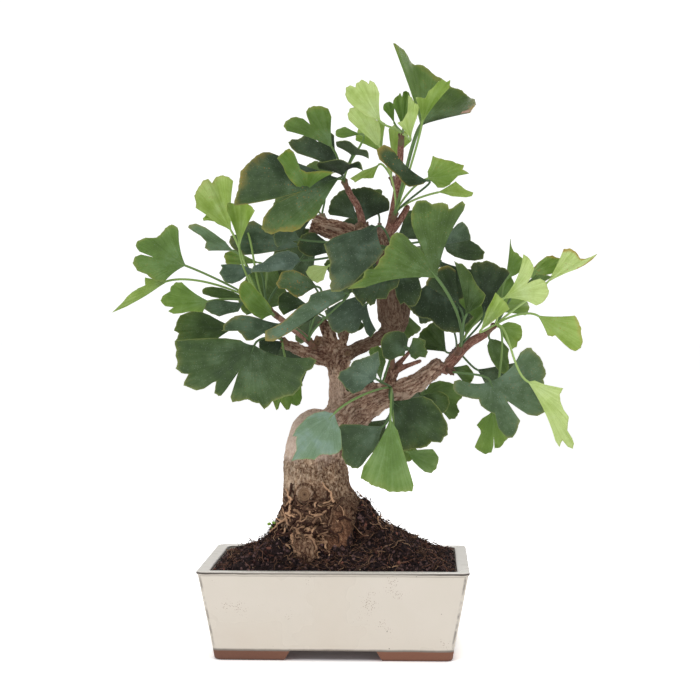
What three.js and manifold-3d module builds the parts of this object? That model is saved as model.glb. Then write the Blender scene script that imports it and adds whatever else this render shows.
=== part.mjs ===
// Ginkgo bonsai: a stubby chopped trunk with three limbs and fan-shaped leaves,
// growing from a soil mound in a rectangular cream pot on four low corner feet.
// Millimetres, +Z up. Points are given from the middle of the pot at the surface
// it stands on; the last lines move the whole tree so that the middle of its
// bounding box is over the origin.
import * as THREE from 'three';
import { mergeVertices } from 'three/addons/utils/BufferGeometryUtils.js';
import Module from 'manifold-3d';

const wasm = await Module();
wasm.setup();
const { Manifold, Mesh } = wasm;

// ---------- driving dimensions ----------

const gap = 0.3; // air between neighbouring pieces

const pot = {
  length: 202, // outside, at the rim
  width: 150,
  baseLength: 178, // outside, at the table
  baseWidth: 125,
  height: 68,
  wall: 9,
  corner: 6, // radius of the outer corners
  footHeight: 7.5,
  footWall: 13, // how thick the feet are
  floor: 16, // top of the pot's floor, above the table
  edge: 1.2, // rounding at the bottom
  lip: 0.7, // how far the rim band stands out
  lipHeight: 3,
  lipSlope: 0.5, // height over which the band comes out of the wall
  lipEdge: 0.8, // height of its rounded top
  gapLong: { top: 64.5, bottom: 72.5 }, // between the feet, front and back
  gapShort: { top: 42, bottom: 50 }, // between the feet, at the ends
  drain: { radius: 8, spacing: 84 },
};

const mesh = { size: 24, thickness: 1, holes: 3, hole: 5, rib: 2 };

const soil = {
  level: 63, // height at the pot's wall
  heap: 22, // mound towards the front and back
  heapEnds: 14, // extra mound towards the ends
  spread: 0.66, // how far it reaches, as a share of the way to the wall
  sharpness: 3,
  centre: [4, 0],
  sectors: 24,
  rings: 5,
  lump: 1.2,
};

const leafThickness = 0.8;
const petioleRadius = 1.0;
const spurRadius = 2.3;
const baseRow = 0.07; // where the petiole opens into the blade, as a share of its length
const bladeRows = [0.56, 1];
const longPetiole = 30; // from here on a petiole has one ring more
const petioleDepth = 1.5; // how deep it starts inside the bud
const petioleSweep = 0.27; // how far it keeps its direction at both ends, as a share of its length
const bladeColumns = 7;
const rimDetail = 16; // mm², what a corner of an uneven leaf has to stand out by
const rimStart = 0.35; // corners nearer the base than this share of the length are left out
const rimCorners = 5; // at the least
const rimRounds = 8; // how often the corners are moved towards their aim
const rimPull = 0.8; // and how far each time, as a share of the miss
const rimGap = 0.01; // radians between two corners, at the least
const waveHeight = 0.03; // as a share of the length
const waves = 1.3; // across the fan

// Where the outlines of the leaves are drawn from. A step is what one part in
// `steps` of the distance to the eye looks like.
const eye = {
  at: new THREE.Vector3(69.4, -1398.3, 273),
  turned: 2.43, // degrees to the left
  tipped: 1.76, // degrees down
  steps: 1804,
};

const colour = {
  glaze: 0xe2d6ca,
  soil: 0x2c211c,
  bark: 0x84695a,
  mesh: 0x20242a,
  leafDark: 0x3c5a3a,
  leafMid: 0x5d8148,
  leafLight: 0x9dbb5c,
};

// ---------- the wood: [x, y, z, radius] along each limb ----------

const limbs = [
  { // trunk, down into the soil
    sides: 14,
    rough: 0.05,
    path: [[-12, 0, 52, 30], [-13, 0, 82, 29.5], [-15, 0, 105, 27], [-16, 0, 125, 26],
      [-18, 0, 144, 23.5], [-20, 0, 164, 19]],
  },
  { // smooth chopped shoulder
    sides: 10,
    rough: 0.02,
    path: [[-21, 0, 158, 18], [-17, 0, 168, 17.2], [-8, 0, 172, 13]],
  },
  { // trunk above the shoulder, leaning right
    sides: 10,
    rough: 0.06,
    path: [[-14, 0, 146, 21], [-2, 0, 167, 17.5], [8, 0, 179, 15.5], [19, 0, 186, 14]],
  },
  { // right limb, to its broken end
    sides: 9,
    rough: 0.08,
    path: [[14, 0, 184, 14.5], [32, -2, 194, 11.2], [46, -4, 197, 8.2], [58, -6, 203, 7.2],
      [71, -8, 212, 6.6], [81, -10, 221, 5.6]],
  },
  { // red young shoot on the right limb
    sides: 7,
    rough: 0.04,
    path: [[82, -10, 214, 4.6], [91, -11, 224, 3.9], [100, -12, 234, 3.5], [109, -12, 240, 3.3],
      [115, -12, 243, 2.8]],
  },
  { // neck of the left limb
    sides: 8,
    rough: 0.05,
    path: [[4, 0, 179, 13], [1, -2, 193, 7.4], [0, -4, 205, 6.3], [1, -6, 216, 8],
      [1, -7, 226, 9.6], [1, -7, 232, 7.5]],
  },
  { // stub standing up from the knot
    sides: 7,
    rough: 0.08,
    path: [[1, -7, 228, 6.5], [-5, -8, 240, 4.8], [-11, -9, 253, 3.6]],
  },
  { // tiny stub beside it
    sides: 6,
    rough: 0.04,
    path: [[4, -8, 232, 3.4], [8, -8, 245, 2]],
  },
  { // brown stub to the left
    sides: 8,
    rough: 0.08,
    path: [[0, -8, 222, 7], [-16, -12, 226, 5.2], [-28, -15, 230, 4], [-40, -18, 236, 3.3]],
  },
  { // red twig to the left
    sides: 6,
    rough: 0.04,
    path: [[-6, -10, 226, 3.6], [-14, -12, 231, 3.1], [-24, -14, 240, 2.7], [-36, -14, 249, 2.5],
      [-45, -13, 256, 2.3]],
  },
  { // dark limb from the knot to the upper trunk
    sides: 8,
    rough: 0.06,
    path: [[4, -5, 225, 6.4], [18, 0, 232, 5.2], [29, 2, 237, 5], [42, 3, 244, 6.6]],
  },
  { // thick upper trunk
    sides: 10,
    rough: 0.05,
    path: [[42, 3, 241, 6], [44, 3, 249, 10.2], [44, 3, 261, 12.8], [43, 3, 277, 12.5],
      [42, 2, 292, 11.7], [39, 1, 306, 10.2], [34, 0, 316, 8]],
  },
  { // sawn stub at the top, to the left
    sides: 8,
    rough: 0.07,
    path: [[36, 0, 312, 8.2], [22, 2, 317, 7.5], [2, 4, 322, 7.2], [-20, 5, 328.5, 6.7]],
  },
  { // short sawn stub with a ring
    sides: 8,
    rough: 0.03,
    path: [[22, 0, 317, 4.8], [18, -6, 326, 4]],
  },
  { // dark twig to the upper left leaves
    sides: 6,
    rough: 0.05,
    path: [[22, -1, 320, 3.4], [16, -2, 341, 2.6], [11, -2, 349, 2.3], [8, -3, 356, 2.2]],
  },
  { // leader
    sides: 6,
    rough: 0.04,
    path: [[36, 0, 314, 5.4], [41, 0, 324, 3.9], [43, 0, 335, 3], [47, 0, 358, 2.7],
      [49, 0, 381, 2.5], [49.5, 0, 391, 2.3]],
  },
  { // short red stub beside the leader
    sides: 6,
    rough: 0.04,
    path: [[43, -1, 322, 2.8], [51, -4, 334, 2.5], [55, -5, 341, 2.2]],
  },
  { // stub on the right limb
    sides: 8,
    rough: 0.08,
    path: [[37, -3, 194, 6], [41, -6, 207, 4.9], [44, -8, 216, 4.4]],
  },
  { // its two side twigs
    sides: 5,
    rough: 0.03,
    path: [[43, -8, 213, 2.6], [54, -10, 218, 1.9], [65, -12, 222, 1.5]],
  },
  {
    sides: 5,
    rough: 0.03,
    path: [[44, -8, 215, 2.2], [52, -6, 224, 1.7], [58, -4, 231, 1.4]],
  },
  { // root flare, right
    sides: 9,
    rough: 0.06,
    path: [[-4, 0, 120, 14], [8, -3, 104, 14], [20, -5, 90, 12], [36, -7, 72, 9]],
  },
  { // root flare, front
    sides: 9,
    rough: 0.06,
    path: [[-8, -8, 116, 14], [-2, -18, 97, 13], [3, -27, 82, 11], [6, -34, 66, 8]],
  },
  { // root flare, left
    sides: 8,
    rough: 0.06,
    path: [[-24, 0, 112, 13], [-36, -2, 98, 10.5], [-46, -4, 84, 7.5], [-54, -5, 72, 5]],
  },
  { // root flare, back
    sides: 8,
    rough: 0.06,
    path: [[-14, 8, 116, 14], [-16, 22, 96, 11.5], [-20, 34, 76, 8]],
  },
  { // smooth root at the front left
    sides: 8,
    rough: 0.03,
    path: [[-20, -16, 92, 8], [-26, -27, 85, 9], [-24, -37, 77, 7.5]],
  },
  { // two bare roots across the front
    sides: 5,
    rough: 0.02,
    path: [[-38, -10, 106, 2.4], [-28, -25, 99, 2.6], [-14, -29, 101, 2.2], [-6, -24, 107, 1.8]],
  },
  {
    sides: 5,
    rough: 0.02,
    path: [[-36, -12, 96, 2.2], [-24, -28, 90, 2.6], [-10, -31, 94, 2.3], [2, -28, 98, 1.8]],
  },
  { // healed branch scar on the trunk
    sides: 8,
    rough: 0.02,
    path: [[-22, -16, 120, 7], [-24, -24.5, 120, 6.4]],
  },
  { // ring scar on the knot
    sides: 8,
    rough: 0.02,
    path: [[-10, -10, 234, 4.4], [-14, -18, 237, 3.4]],
  },
];

// ---------- the leaves ----------

// A leaf runs from its base (where the petiole meets the blade) to its end (the
// middle of the outer edge). fan is how far it spreads to the left and right of
// that line in degrees, side how long those two edges are as shares of its
// length.
function leaf(base, end, fan, side, more = {}) {
  const plain = { roll: 0, cup: 0.12, bend: 14, point: 2.2, flare: 0.22 };
  const blade = { ...plain, ...more, base: vector(base), end: vector(end), side };
  blade.fan = fan.map(THREE.MathUtils.degToRad);
  blade.frame = bladeFrame(blade);
  return blade;
}

// A leaf of uneven shape: rim is its outline as the eye sees it, as steps to the
// right and up from the base, two numbers a point, round from one side of the
// base to the other.
function lobed(base, end, rim, more = {}) {
  const blade = leaf(base, end, [0, 0], [1, 1], more);
  blade.knots = rimKnots(blade, rim);
  blade.spread = spreadOf(blade.knots.map(([angle]) => angle));
  return blade;
}

function vector([x, y, z]) {
  return new THREE.Vector3(x, y, z);
}

const sprays = {
  leaves_left_tip: {
    foot: [-44, -13, 255], tip: [-51, -16, 261], colour: colour.leafMid,
    leaves: [
      lobed([-114, -30, 295], [-149, -44, 312], [
        -21, -16, -31, -15, -39, -9, -49, -5, -53, 3, -50, 9, -44, 11, -32, 8, -46, 14, -50, 20,
        -48, 25, -40, 28, -29, 28, -24, 33, -20, 38, -14, 41, -8, 38, -7, 34, -8, 22,
      ]),
      lobed([-129, -30, 283], [-165, -59, 260], [
        -21, 4, -21, -4, -28, -7, -40, -16, -53, -31, -40, -25, -28, -17, -16, -8, -6, -3,
      ], { flare: 0.05, roll: 50 }),
      lobed([-94, -48, 268], [-126, -60, 271], [
        -6, -11, -17, -10, -27, -12, -36, -13, -41, -10, -35, -6, -44, -5, -48, 1, -46, 5, -39, 10,
        -38, 15, -33, 19, -27, 19, -21, 14, -13, 8,
      ]),
      lobed([-68, -41, 267], [-94, -55, 267], [
        -6, -9, -16, -11, -25, -14, -33, -11, -40, -6, -38, 0, -31, 3, -19, 2,
      ], { bend: 24 }),
      lobed([-46, -50, 258], [-68, -90, 274], [
        -10, -5, -18, -1, -26, 7, -32, 16, -35, 24, -33, 31, -27, 34, -21, 31, -14, 23, -6, 14,
        -1, 7,
      ], { roll: 15 }),
      lobed([-81, -12, 322], [-97, -24, 362], [
        -14, 7, -25, 16, -38, 20, -35, 27, -37, 35, -34, 42, -28, 50, -23, 52, -19, 47, -15, 54,
        -8, 56, -2, 54, 2, 50, 1, 46,
      ]),
      lobed([-73, -29, 311], [-72, -45, 343], [
        -13, 33, -12, 42, -7, 42, -3, 41, 2, 43, 8, 41, 13, 37, 15, 33, 11, 28, 7, 22,
      ], { cup: 0.5 }),
      lobed([-80, -5, 307], [-119, 15, 324], [
        -18, 1, -25, 0, -29, 3, -27, 9, -33, 15, -43, 18, -50, 21, -44, 25, -37, 26, -28, 23,
        -19, 17, -8, 9,
      ], { roll: 40 }),
      lobed([-28, 12, 311], [-77, -2, 316], [
        -19, -4, -44, -8, -59, -9, -67, -5, -73, 3, -72, 10, -65, 12, -57, 23, -48, 25, -40, 20,
        -32, 10, -19, 4,
      ]),
      lobed([-61, -14, 292], [-86, -30, 290], [
        -17, -11, -25, -14, -31, -13, -35, -7, -37, -3, -34, 2, -36, 5, -27, 6, -15, 5,
      ]),
      lobed([-62, 22, 298], [-91, 30, 304], [
        -20, -2, -30, -3, -35, 0, -36, 6, -34, 10, -29, 12, -20, 10,
      ]),
      lobed([-83, 5, 334], [-97, 2, 331], [
        -17, -5, -23, -4, -27, -6, -28, -2, -25, 1, -19, 4,
      ]),
      lobed([-66, -22, 269], [-99, -30, 277], [
        -20, 0, -38, 3, -46, 6, -47, 10, -44, 12, -37, 13, -28, 12, -16, 8,
      ]),
    ],
  },
  leaves_left_low: {
    foot: [-35, -16, 234], tip: [-40, -23, 238], colour: colour.leafDark,
    leaves: [
      lobed([-60, -46, 235], [-64, -70, 185], [
        -14, 5, -29, 7, -44, 7, -59, 6, -69, 5, -79, 4, -78, -5, -79, -11, -77, -17, -79, -23,
        -73, -28, -66, -29, -70, -37, -71, -41, -64, -43, -58, -45, -50, -43, -42, -37, -38, -36,
        -40, -48, -36, -51, -30, -53, -26, -49, -16, -26, -24, -52, -22, -57, -16, -56, -7, -54,
        -1, -57, 5, -58, 10, -64, 14, -61, 18, -57, 31, -51, 39, -50, 48, -40, 47, -35, 50, -30,
        53, -26, 58, -24, 62, -15, 56, -12, 46, -11, 31, -10, 21, -9, 10, -5,
      ], { cup: 0.04 }),
      lobed([-76, -31, 248], [-121, -39, 251], [
        -20, -13, -59, -13, -56, -6, -61, -3, -59, 5, -56, 12, -50, 14, -42, 17, -35, 16, -25, 12,
        -17, 8, -9, 4,
      ]),
      lobed([-37, -24, 216], [-36, -28, 185], [
        14, -16, 15, -29, 13, -35, 9, -37, 4, -34, 2, -40, -1, -40, -7, -33, -8, -40, -11, -41,
        -15, -31, -14, -17,
      ]),
      leaf([-40, -20, 237], [-58, -22, 231], [50, 29], [0.6, 0.9], { bend: 24 }),
    ],
  },
  leaves_left_middle: {
    foot: [-15, -13, 230], tip: [-20, -26, 238], colour: colour.leafDark,
    leaves: [
      lobed([-40, -48, 251], [-80, -72, 247], [
        -19, -7, -23, -13, -28, -16, -34, -16, -39, -11, -43, -7, -49, -8, -53, -13, -57, -12,
        -58, -6, -57, -1, -52, 4, -46, 8, -39, 9, -31, 8, -23, 6,
      ], { roll: 25, cup: 0.3 }),
      lobed([9, -53, 274], [-42, -97, 245], [
        -3, -6, -16, -13, -34, -26, -70, -49, -80, -47, -80, -37, -63, -29, -46, -13, -38, -9,
        -35, -2, -29, 1, -16, 4, -6, 4,
      ], { flare: 0, roll: 20, bend: 30 }),
      lobed([-13, -38, 279], [-44, -54, 280], [
        -15, -9, -21, -11, -27, -7, -32, -2, -38, -3, -41, 3, -38, 8, -36, 15, -25, 17, -17, 14,
        -7, 8,
      ], { roll: 15 }),
      leaf([-21, -24, 265], [-43, -32, 270], [34, 26], [0.88, 0.64]),
    ],
  },
  leaves_knot: {
    foot: [7, -8, 241], tip: [9, -4, 250], colour: colour.leafDark,
    leaves: [
      leaf([9, 7, 263], [11, 7, 243], [38, 39], [0.92, 0.89]),
    ],
  },
  leaves_upper_left: {
    foot: [9, -2, 352], tip: [6, -6, 360], colour: colour.leafDark,
    leaves: [
      lobed([3, -32, 361], [-56, -88, 329], [
        -17, -25, -20, -34, -25, -40, -33, -44, -37, -52, -47, -54, -59, -53, -67, -56, -73, -54,
        -77, -50, -75, -39, -70, -32, -64, -26, -54, -21, -40, -14, -56, -20, -67, -24, -77, -27,
        -87, -30, -105, -27, -101, -12, -99, -2, -98, 7, -91, 15, -82, 23, -76, 26, -70, 26,
        -39, 12, -19, 7,
      ], { flare: 0.1, cup: 0.06 }),
      lobed([-20, -46, 351], [-35, -76, 372], [
        28, 18, 18, 19, -1, 18, -8, 21, -11, 26, -13, 33, -14, 39, -18, 42, -22, 40, -30, 32,
        -24, 24, -22, 18, -17, 10, -11, 4,
      ], { cup: 0.25 }),
      lobed([-2, -31, 384], [-22, -43, 413], [
        -24, 13, -32, 16, -42, 17, -46, 17, -49, 22, -47, 27, -42, 30, -36, 31, -29, 29, -22, 23,
        -25, 31, -26, 36, -23, 40, -18, 42, -10, 42, -4, 39, -1, 31, -3, 24, -4, 18,
      ]),
      lobed([1, -20, 374], [-33, -7, 399], [
        -15, 0, -25, 4, -34, 7, -40, 9, -46, 14, -49, 20, -45, 23, -39, 23, -34, 26, -30, 27,
        -25, 25, -19, 20, -10, 32, -3, 27, -2, 14,
      ]),
      leaf([5, -17, 364], [6, -77, 371], [34, 14], [0.5, 1.3]),
      leaf([12, -7, 380], [15, -39, 386], [50, 29], [0.5, 0.9]),
      leaf([18, 10, 398], [-2, 18, 400], [19, 20], [0.64, 0.69], { roll: 20 }),
    ],
  },
  leaves_top: {
    foot: [49, 0, 385], tip: [50, -1, 396], colour: colour.leafLight,
    leaves: [
      lobed([51, 7, 401], [53, 15, 432], [
        -6, 18, -10, 24, -10, 29, -6, 33, -3, 36, -1, 32, 0, 37, 3, 39, 6, 37, 7, 33, 8, 24,
      ]),
      lobed([57, -20, 392], [60, -27, 417], [
        -13, 15, -8, 17, -6, 21, -3, 26, -2, 43, 1, 41, 4, 35, 9, 34, 8, 28, 6, 20, 2, 13,
      ], { cup: 0.5 }),
      lobed([34, -17, 405], [15, -21, 434], [
        -15, 6, -28, 16, -33, 21, -35, 27, -34, 34, -30, 36, -25, 34, -24, 38, -19, 42, -14, 40,
        -12, 38, -11, 42, -6, 39, -3, 34, -1, 28, -3, 23, -4, 18, -2, 10,
      ]),
      leaf([44, 15, 407], [38, 16, 423], [20, 22], [0.79, 0.75], { bend: -20 }),
    ],
  },
  leaves_leader: {
    foot: [42, -1, 327], tip: [45, -8, 335], colour: colour.leafMid,
    leaves: [
      lobed([65, -10, 403], [83, 34, 443], [
        -28, 82, -18, 75, -9, 63, -1, 59, 9, 54, 19, 48, 25, 43, 31, 37, 40, 34, 47, 30, 54, 25,
        55, 21, 51, 16, 49, 12, 39, 10, 27, 9, 17, 8, 9, 5,
      ], { cup: 0.3, stalk: 1.7 }),
      lobed([66, -26, 404], [80, -34, 432], [
        -1, 10, -4, 21, -7, 24, 3, 23, 6, 30, 12, 35, 16, 40, 20, 42, 25, 40, 28, 42, 27, 34,
        19, 28, 14, 23, 9, 15, 5, 7,
      ], { cup: 0.5 }),
      lobed([33, -5, 387], [19, 3, 419], [
        -4, 2, -10, 8, -18, 13, -28, 18, -32, 26, -32, 33, -30, 38, -24, 40, -18, 39, -12, 34,
        -6, 29, -1, 25, 1, 18, 1, 8,
      ]),
      lobed([70, -31, 359], [32, -59, 378], [
        -4, -3, -12, -5, -18, -6, -24, -2, -30, 5, -37, 11, -43, 17, -48, 21, -50, 26, -51, 30,
        -48, 33, -43, 36, -38, 34, -33, 29, -29, 23, -26, 15, -23, 7, -18, 5, -8, 3,
      ], { roll: 30, cup: 0.3, bend: 34 }),
      lobed([70, -24, 361], [99, -16, 372], [
        0, 7, 3, 14, 2, 24, 9, 21, 17, 19, 24, 18, 29, 15, 36, 13, 35, 9, 42, 5, 31, 3, 27, -1,
        22, -6, 16, -9, 10, -9,
      ], { roll: -20 }),
      lobed([78, 2, 352], [107, 10, 352], [
        10, 5, 18, 11, 23, 7, 27, 3, 35, 0, 34, -4, 28, -5, 14, -4,
      ], { roll: 20 }),
    ],
  },
  leaves_crown_rear: {
    foot: [20, 5, 318], tip: [22, 12, 328], colour: colour.leafDark,
    leaves: [
      leaf([21, 22, 331], [24, 34, 357], [33, 63], [0.98, 0.69]),
      leaf([15, 31, 332], [-5, 43, 350], [31, 32], [0.8, 0.89]),
    ],
  },
  leaves_crown_front: {
    foot: [42, -5, 298], tip: [43, -22, 306], colour: colour.leafDark,
    leaves: [
      lobed([-26, -29, 299], [-54, -41, 293], [
        -9, -10, -21, -10, -33, -12, -43, -12, -51, -12, -48, -6, -38, -2, -30, 4, -23, 8, -13, 10,
        -4, 6,
      ]),
      lobed([32, -46, 324], [-1, -86, 284], [
        7, -26, -1, -36, -13, -46, -25, -59, -37, -66, -46, -66, -47, -59, -45, -54, -47, -50,
        -47, -42, -46, -36, -49, -30, -51, -24, -53, -18, -45, -12, -35, -8, -25, -5, -15, -3,
        -5, 2,
      ]),
      lobed([38, -53, 293], [27, -57, 262], [
        15, -12, 13, -19, 5, -24, 2, -31, -8, -31, -9, -36, -14, -38, -18, -34, -22, -38, -28, -31,
        -33, -24, -31, -16, -18, -6,
      ]),
      lobed([49, -41, 291], [51, -41, 261], [
        19, -7, 22, -19, 20, -29, 16, -36, 9, -36, 5, -32, 1, -34, -3, -27, -5, -15,
      ]),
      lobed([82, -7, 312], [112, 13, 302], [
        27, 4, 35, -1, 41, -8, 39, -15, 32, -17, 22, -16, 12, -13, 4, -8,
      ]),
      lobed([80, 7, 312], [99, 19, 330], [
        5, 18, 13, 16, 16, 21, 22, 23, 27, 18, 30, 10, 31, 2, 15, -1,
      ]),
      lobed([24, -26, 266], [27, -30, 240], [
        9, -26, 4, -34, -1, -29, -5, -16, -9, -27, -15, -30, -22, -27, -29, -30, -36, -26,
        -39, -17, -42, -7, -27, 2, -12, 7,
      ]),
      lobed([-6, -12, 295], [-19, -8, 282], [
        -5, -14, -11, -17, -17, -14, -23, -6, -20, -1, -14, 1, -5, 0, -1, -2,
      ]),
      leaf([-27, -22, 315], [-46, -30, 319], [30, 47], [0.92, 0.51]),
      leaf([3, -5, 307], [-30, -1, 313], [23, 25], [0.67, 0.73]),
      leaf([80, 4, 299], [98, -2, 270], [44, 40], [0.84, 0.8]),
    ],
  },
  leaves_right_upper: {
    foot: [92, -11, 225], tip: [95, -20, 233], colour: colour.leafDark,
    leaves: [
      lobed([77, -74, 285], [44, -90, 326], [
        -17, 0, -37, -2, -57, -5, -72, -9, -90, -11, -85, -7, -79, -3, -74, 0, -73, 6, -70, 9,
        -64, 9, -60, 13, -57, 19, -52, 24, -52, 30, -48, 34, -47, 40, -44, 44, -40, 46, -35, 45,
        -29, 40, -24, 34, -17, 30, -15, 23, -17, 33, -22, 42, -25, 52, -26, 63, -24, 70, -21, 76,
        -17, 78, -11, 78, -5, 75, 6, 76, 11, 73, 12, 69, 16, 70, 20, 74, 25, 77, 28, 74, 26, 68,
        22, 61, 18, 53, 14, 43, 10, 31, 4, 16,
      ], { cup: 0.05, stalk: 1.3 }),
      lobed([82, -12, 286], [88, -22, 244], [
        31, -40, 23, -48, 17, -55, 9, -55, 0, -53, -6, -49, -13, -42, -23, -40, -29, -36, -35, -29,
        -31, -18, -15, -6,
      ]),
      leaf([95, -38, 262], [77, -54, 292], [23, 21], [0.92, 0.84]),
      lobed([99, -53, 258], [102, -45, 297], [
        0, 12, -5, 28, -9, 41, -12, 53, -4, 51, 4, 43, 10, 31, 19, 20, 14, 9, 6, 4,
      ], { cup: 0.5 }),
      leaf([113, -26, 258], [114, -14, 298], [17, 32], [0.94, 0.88]),
    ],
  },
  leaves_right_tip: {
    foot: [114, -12, 242.5], tip: [121, -13, 249], colour: colour.leafLight,
    leaves: [
      lobed([127, -36, 270], [160, -48, 289], [
        20, 44, 24, 42, 28, 37, 31, 30, 28, 22, 24, 15, 30, 18, 37, 20, 42, 18, 44, 14, 46, 8,
        44, 2, 39, -4, 33, -7, 28, -4, 21, -2, 12, -1,
      ], { flare: 0.45 }),
      lobed([110, -38, 246], [123, -50, 276], [
        3, 10, 7, 22, 12, 31, 13, 38, 20, 33, 25, 28, 29, 22, 19, 17, 12, 12, 7, 5,
      ], { cup: 0.5 }),
      lobed([130, 7, 283], [143, 19, 306], [
        5, 36, 6, 43, 9, 30, 14, 27, 20, 20, 17, 11, 11, 7,
      ], { flare: 0.4, roll: 15 }),
      lobed([124, 17, 268], [137, 25, 287], [
        -2, 11, 4, 21, 15, 25, 18, 17, 15, 12, 9, 4,
      ]),
      lobed([145, 18, 284], [171, 23, 300], [
        8, 10, 15, 18, 23, 24, 29, 25, 38, 22, 36, 15, 33, 8, 20, 5,
      ], { roll: 20 }),
      lobed([163, 15, 282], [195, 10, 305], [
        15, 28, 17, 34, 23, 35, 29, 32, 33, 24, 38, 24, 44, 26, 50, 29, 45, 23, 38, 18, 30, 14,
        21, 10,
      ], { flare: 0.35, bend: 24 }),
      lobed([141, 2, 277], [165, 10, 286], [
        12, 8, 17, 15, 23, 15, 34, 13, 24, 7, 11, 2,
      ], { roll: 20 }),
      lobed([154, -19, 257], [188, -15, 242], [
        7, -1, 17, -3, 27, -2, 38, 0, 41, -5, 43, -12, 43, -19, 45, -27, 43, -32, 38, -36, 33, -34,
        27, -29, 22, -24, 18, -19, 15, -21, 10, -20, 8, -14, 4, -8,
      ]),
      lobed([125, 2, 248], [143, 6, 240], [
        5, 3, 10, 5, 17, 4, 23, 1, 24, -5, 23, -11, 19, -15, 18, -20, 13, -23, 10, -18, 5, -10,
      ]),
      lobed([118, 5, 239], [131, 13, 211], [
        6, -1, 14, -4, 20, -11, 19, -17, 20, -24, 19, -30, 16, -35, 12, -34, 7, -29, 2, -22,
        -1, -14, -2, -7,
      ]),
      lobed([145, -46, 208], [173, -72, 169], [
        7, 1, 17, -3, 27, -3, 36, -1, 32, -13, 33, -20, 36, -28, 41, -35, 39, -48, 44, -56,
        46, -62, 45, -67, 40, -65, 35, -59, 32, -66, 28, -60, 24, -48, 19, -33, 13, -20, 6, -8,
      ]),
      lobed([121, -7, 184], [122, -7, 150], [
        17, -27, 12, -31, 7, -37, 1, -38, 2, -22, 0, -35, -2, -42, -8, -44, -15, -41, -19, -37,
        -16, -30, -12, -24, -13, -20, -17, -15, -11, -8,
      ]),
    ],
  },
  leaves_right_low: {
    foot: [84, -11, 216], tip: [89, -22, 214], colour: colour.leafDark,
    leaves: [
      lobed([118, -25, 207], [135, -48, 173], [
        -9, -1, -21, 1, -31, 2, -37, 0, -38, -7, -34, -12, -27, -15, -19, -17, -12, -18, -10, -24,
        -3, -29, 5, -33, 6, -39, 8, -47, 13, -53, 17, -57, 22, -57, 26, -51, 28, -44, 30, -39,
        24, -31, 20, -25, 16, -19, 22, -23, 29, -28, 37, -33, 46, -34, 54, -31, 55, -19, 54, -4,
        53, 2, 56, 8, 53, 15, 50, 23, 46, 28, 41, 34, 37, 34, 30, 29, 24, 22, 18, 15, 12, 8,
      ], { cup: 0.04 }),
    ],
  },
  leaves_low_centre: {
    foot: [40, -8, 197], tip: [42, -21, 201], colour: colour.leafMid,
    leaves: [
      lobed([2, -78, 186], [-20, -69, 146], [
        6, -17, 7, -29, 7, -36, 3, -40, -5, -42, -15, -42, -20, -46, -27, -45, -35, -46, -43, -48,
        -41, -43, -38, -37, -39, -30, -38, -24, -42, -23, -38, -15, -33, -10, -27, -4, -20, 0,
        -10, 2,
      ], { bend: 34 }),
      lobed([37, -60, 175], [8, -64, 151], [
        -4, -15, -9, -24, -15, -31, -20, -38, -25, -42, -31, -42, -38, -37, -41, -29, -41, -23,
        -43, -14, -46, -6, -45, -1, -41, 2, -33, 2, -23, 2, -15, 0,
      ]),
      lobed([43, -74, 182], [40, -90, 130], [
        7, -12, 14, -37, 19, -47, 22, -58, 24, -67, 22, -73, 15, -74, 7, -74, -1, -73, -7, -70,
        -19, -67, -24, -63, -30, -60, -27, -48, -19, -39, -10, -27, -6, -12,
      ]),
      lobed([43, -38, 193], [74, -65, 164], [
        16, -1, 23, 3, 33, 4, 40, 1, 49, -10, 56, -24, 56, -34, 52, -37, 49, -42, 40, -41, 36, -47,
        30, -48, 20, -48, 7, -51, 2, -39,
      ]),
      lobed([54, -41, 155], [78, -45, 147], [
        9, 1, 19, 2, 27, 2, 33, -6, 30, -17, 25, -22, 19, -21, 14, -17, 7, -10,
      ]),
      lobed([32, -55, 210], [8, -71, 223], [
        -14, -11, -24, -15, -31, -9, -34, -4, -38, 1, -36, 7, -30, 10, -26, 13, -23, 18, -16, 20,
        -6, 24, 2, 28, 4, 15,
      ]),
    ],
  },
  leaves_stub: {
    foot: [43, -8, 214], tip: [43, -15, 226], colour: colour.leafDark,
    leaves: [
      lobed([55, -36, 233], [36, -48, 231], [
        -3, -8, -9, -9, -17, -13, -24, -10, -26, -2, -27, 5, -23, 13, -17, 16, -10, 17, -3, 15,
        1, 8,
      ]),
      lobed([55, -26, 231], [72, -30, 231], [
        5, 12, 12, 12, 18, 9, 17, 3, 20, -2, 18, -8, 12, -7, 8, -10, 3, -7,
      ]),
      lobed([35, -41, 208], [32, -45, 234], [
        -6, 11, -9, 21, -13, 29, -10, 33, -3, 35, 3, 31, 5, 19,
      ]),
    ],
  },
  leaves_low_right: {
    foot: [71, -4, 212], tip: [74, 10, 208], colour: colour.leafMid,
    leaves: [
      leaf([88, -4, 217], [105, -17, 210], [27, 23], [0.75, 0.86], { roll: 20, bend: -8 }),
      lobed([66, 10, 195], [100, 22, 190], [
        8, 11, 18, 14, 28, 12, 38, 8, 42, 3, 40, -4, 35, -10, 37, -17, 33, -24, 27, -25, 24, -17,
        16, -10,
      ]),
      leaf([65, -5, 195], [87, -13, 190], [28, 33], [0.67, 0.82], { roll: 15 }),
    ],
  },
  leaves_back_left: {
    foot: [7, -3, 229], tip: [0, 30, 246], colour: colour.leafDark,
    leaves: [
      leaf([-38, 46, 267], [-79, 60, 282], [44, 44], [0.83, 0.82], { roll: 20, bend: 24 }),
      leaf([-23, 56, 283], [-47, 76, 319], [46, 48], [0.81, 0.79], { roll: -15, bend: 24 }),
      leaf([-19, 44, 229], [-53, 62, 209], [40, 40], [0.81, 0.81], { roll: 10, bend: 24 }),
      leaf([3, 52, 270], [9, 74, 304], [42, 44], [0.8, 0.77], { bend: 24 }),
      leaf([-15, 62, 254], [-39, 92, 244], [38, 37], [0.65, 0.67], { roll: 30, bend: 24 }),
    ],
  },
  leaves_back_middle: {
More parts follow.
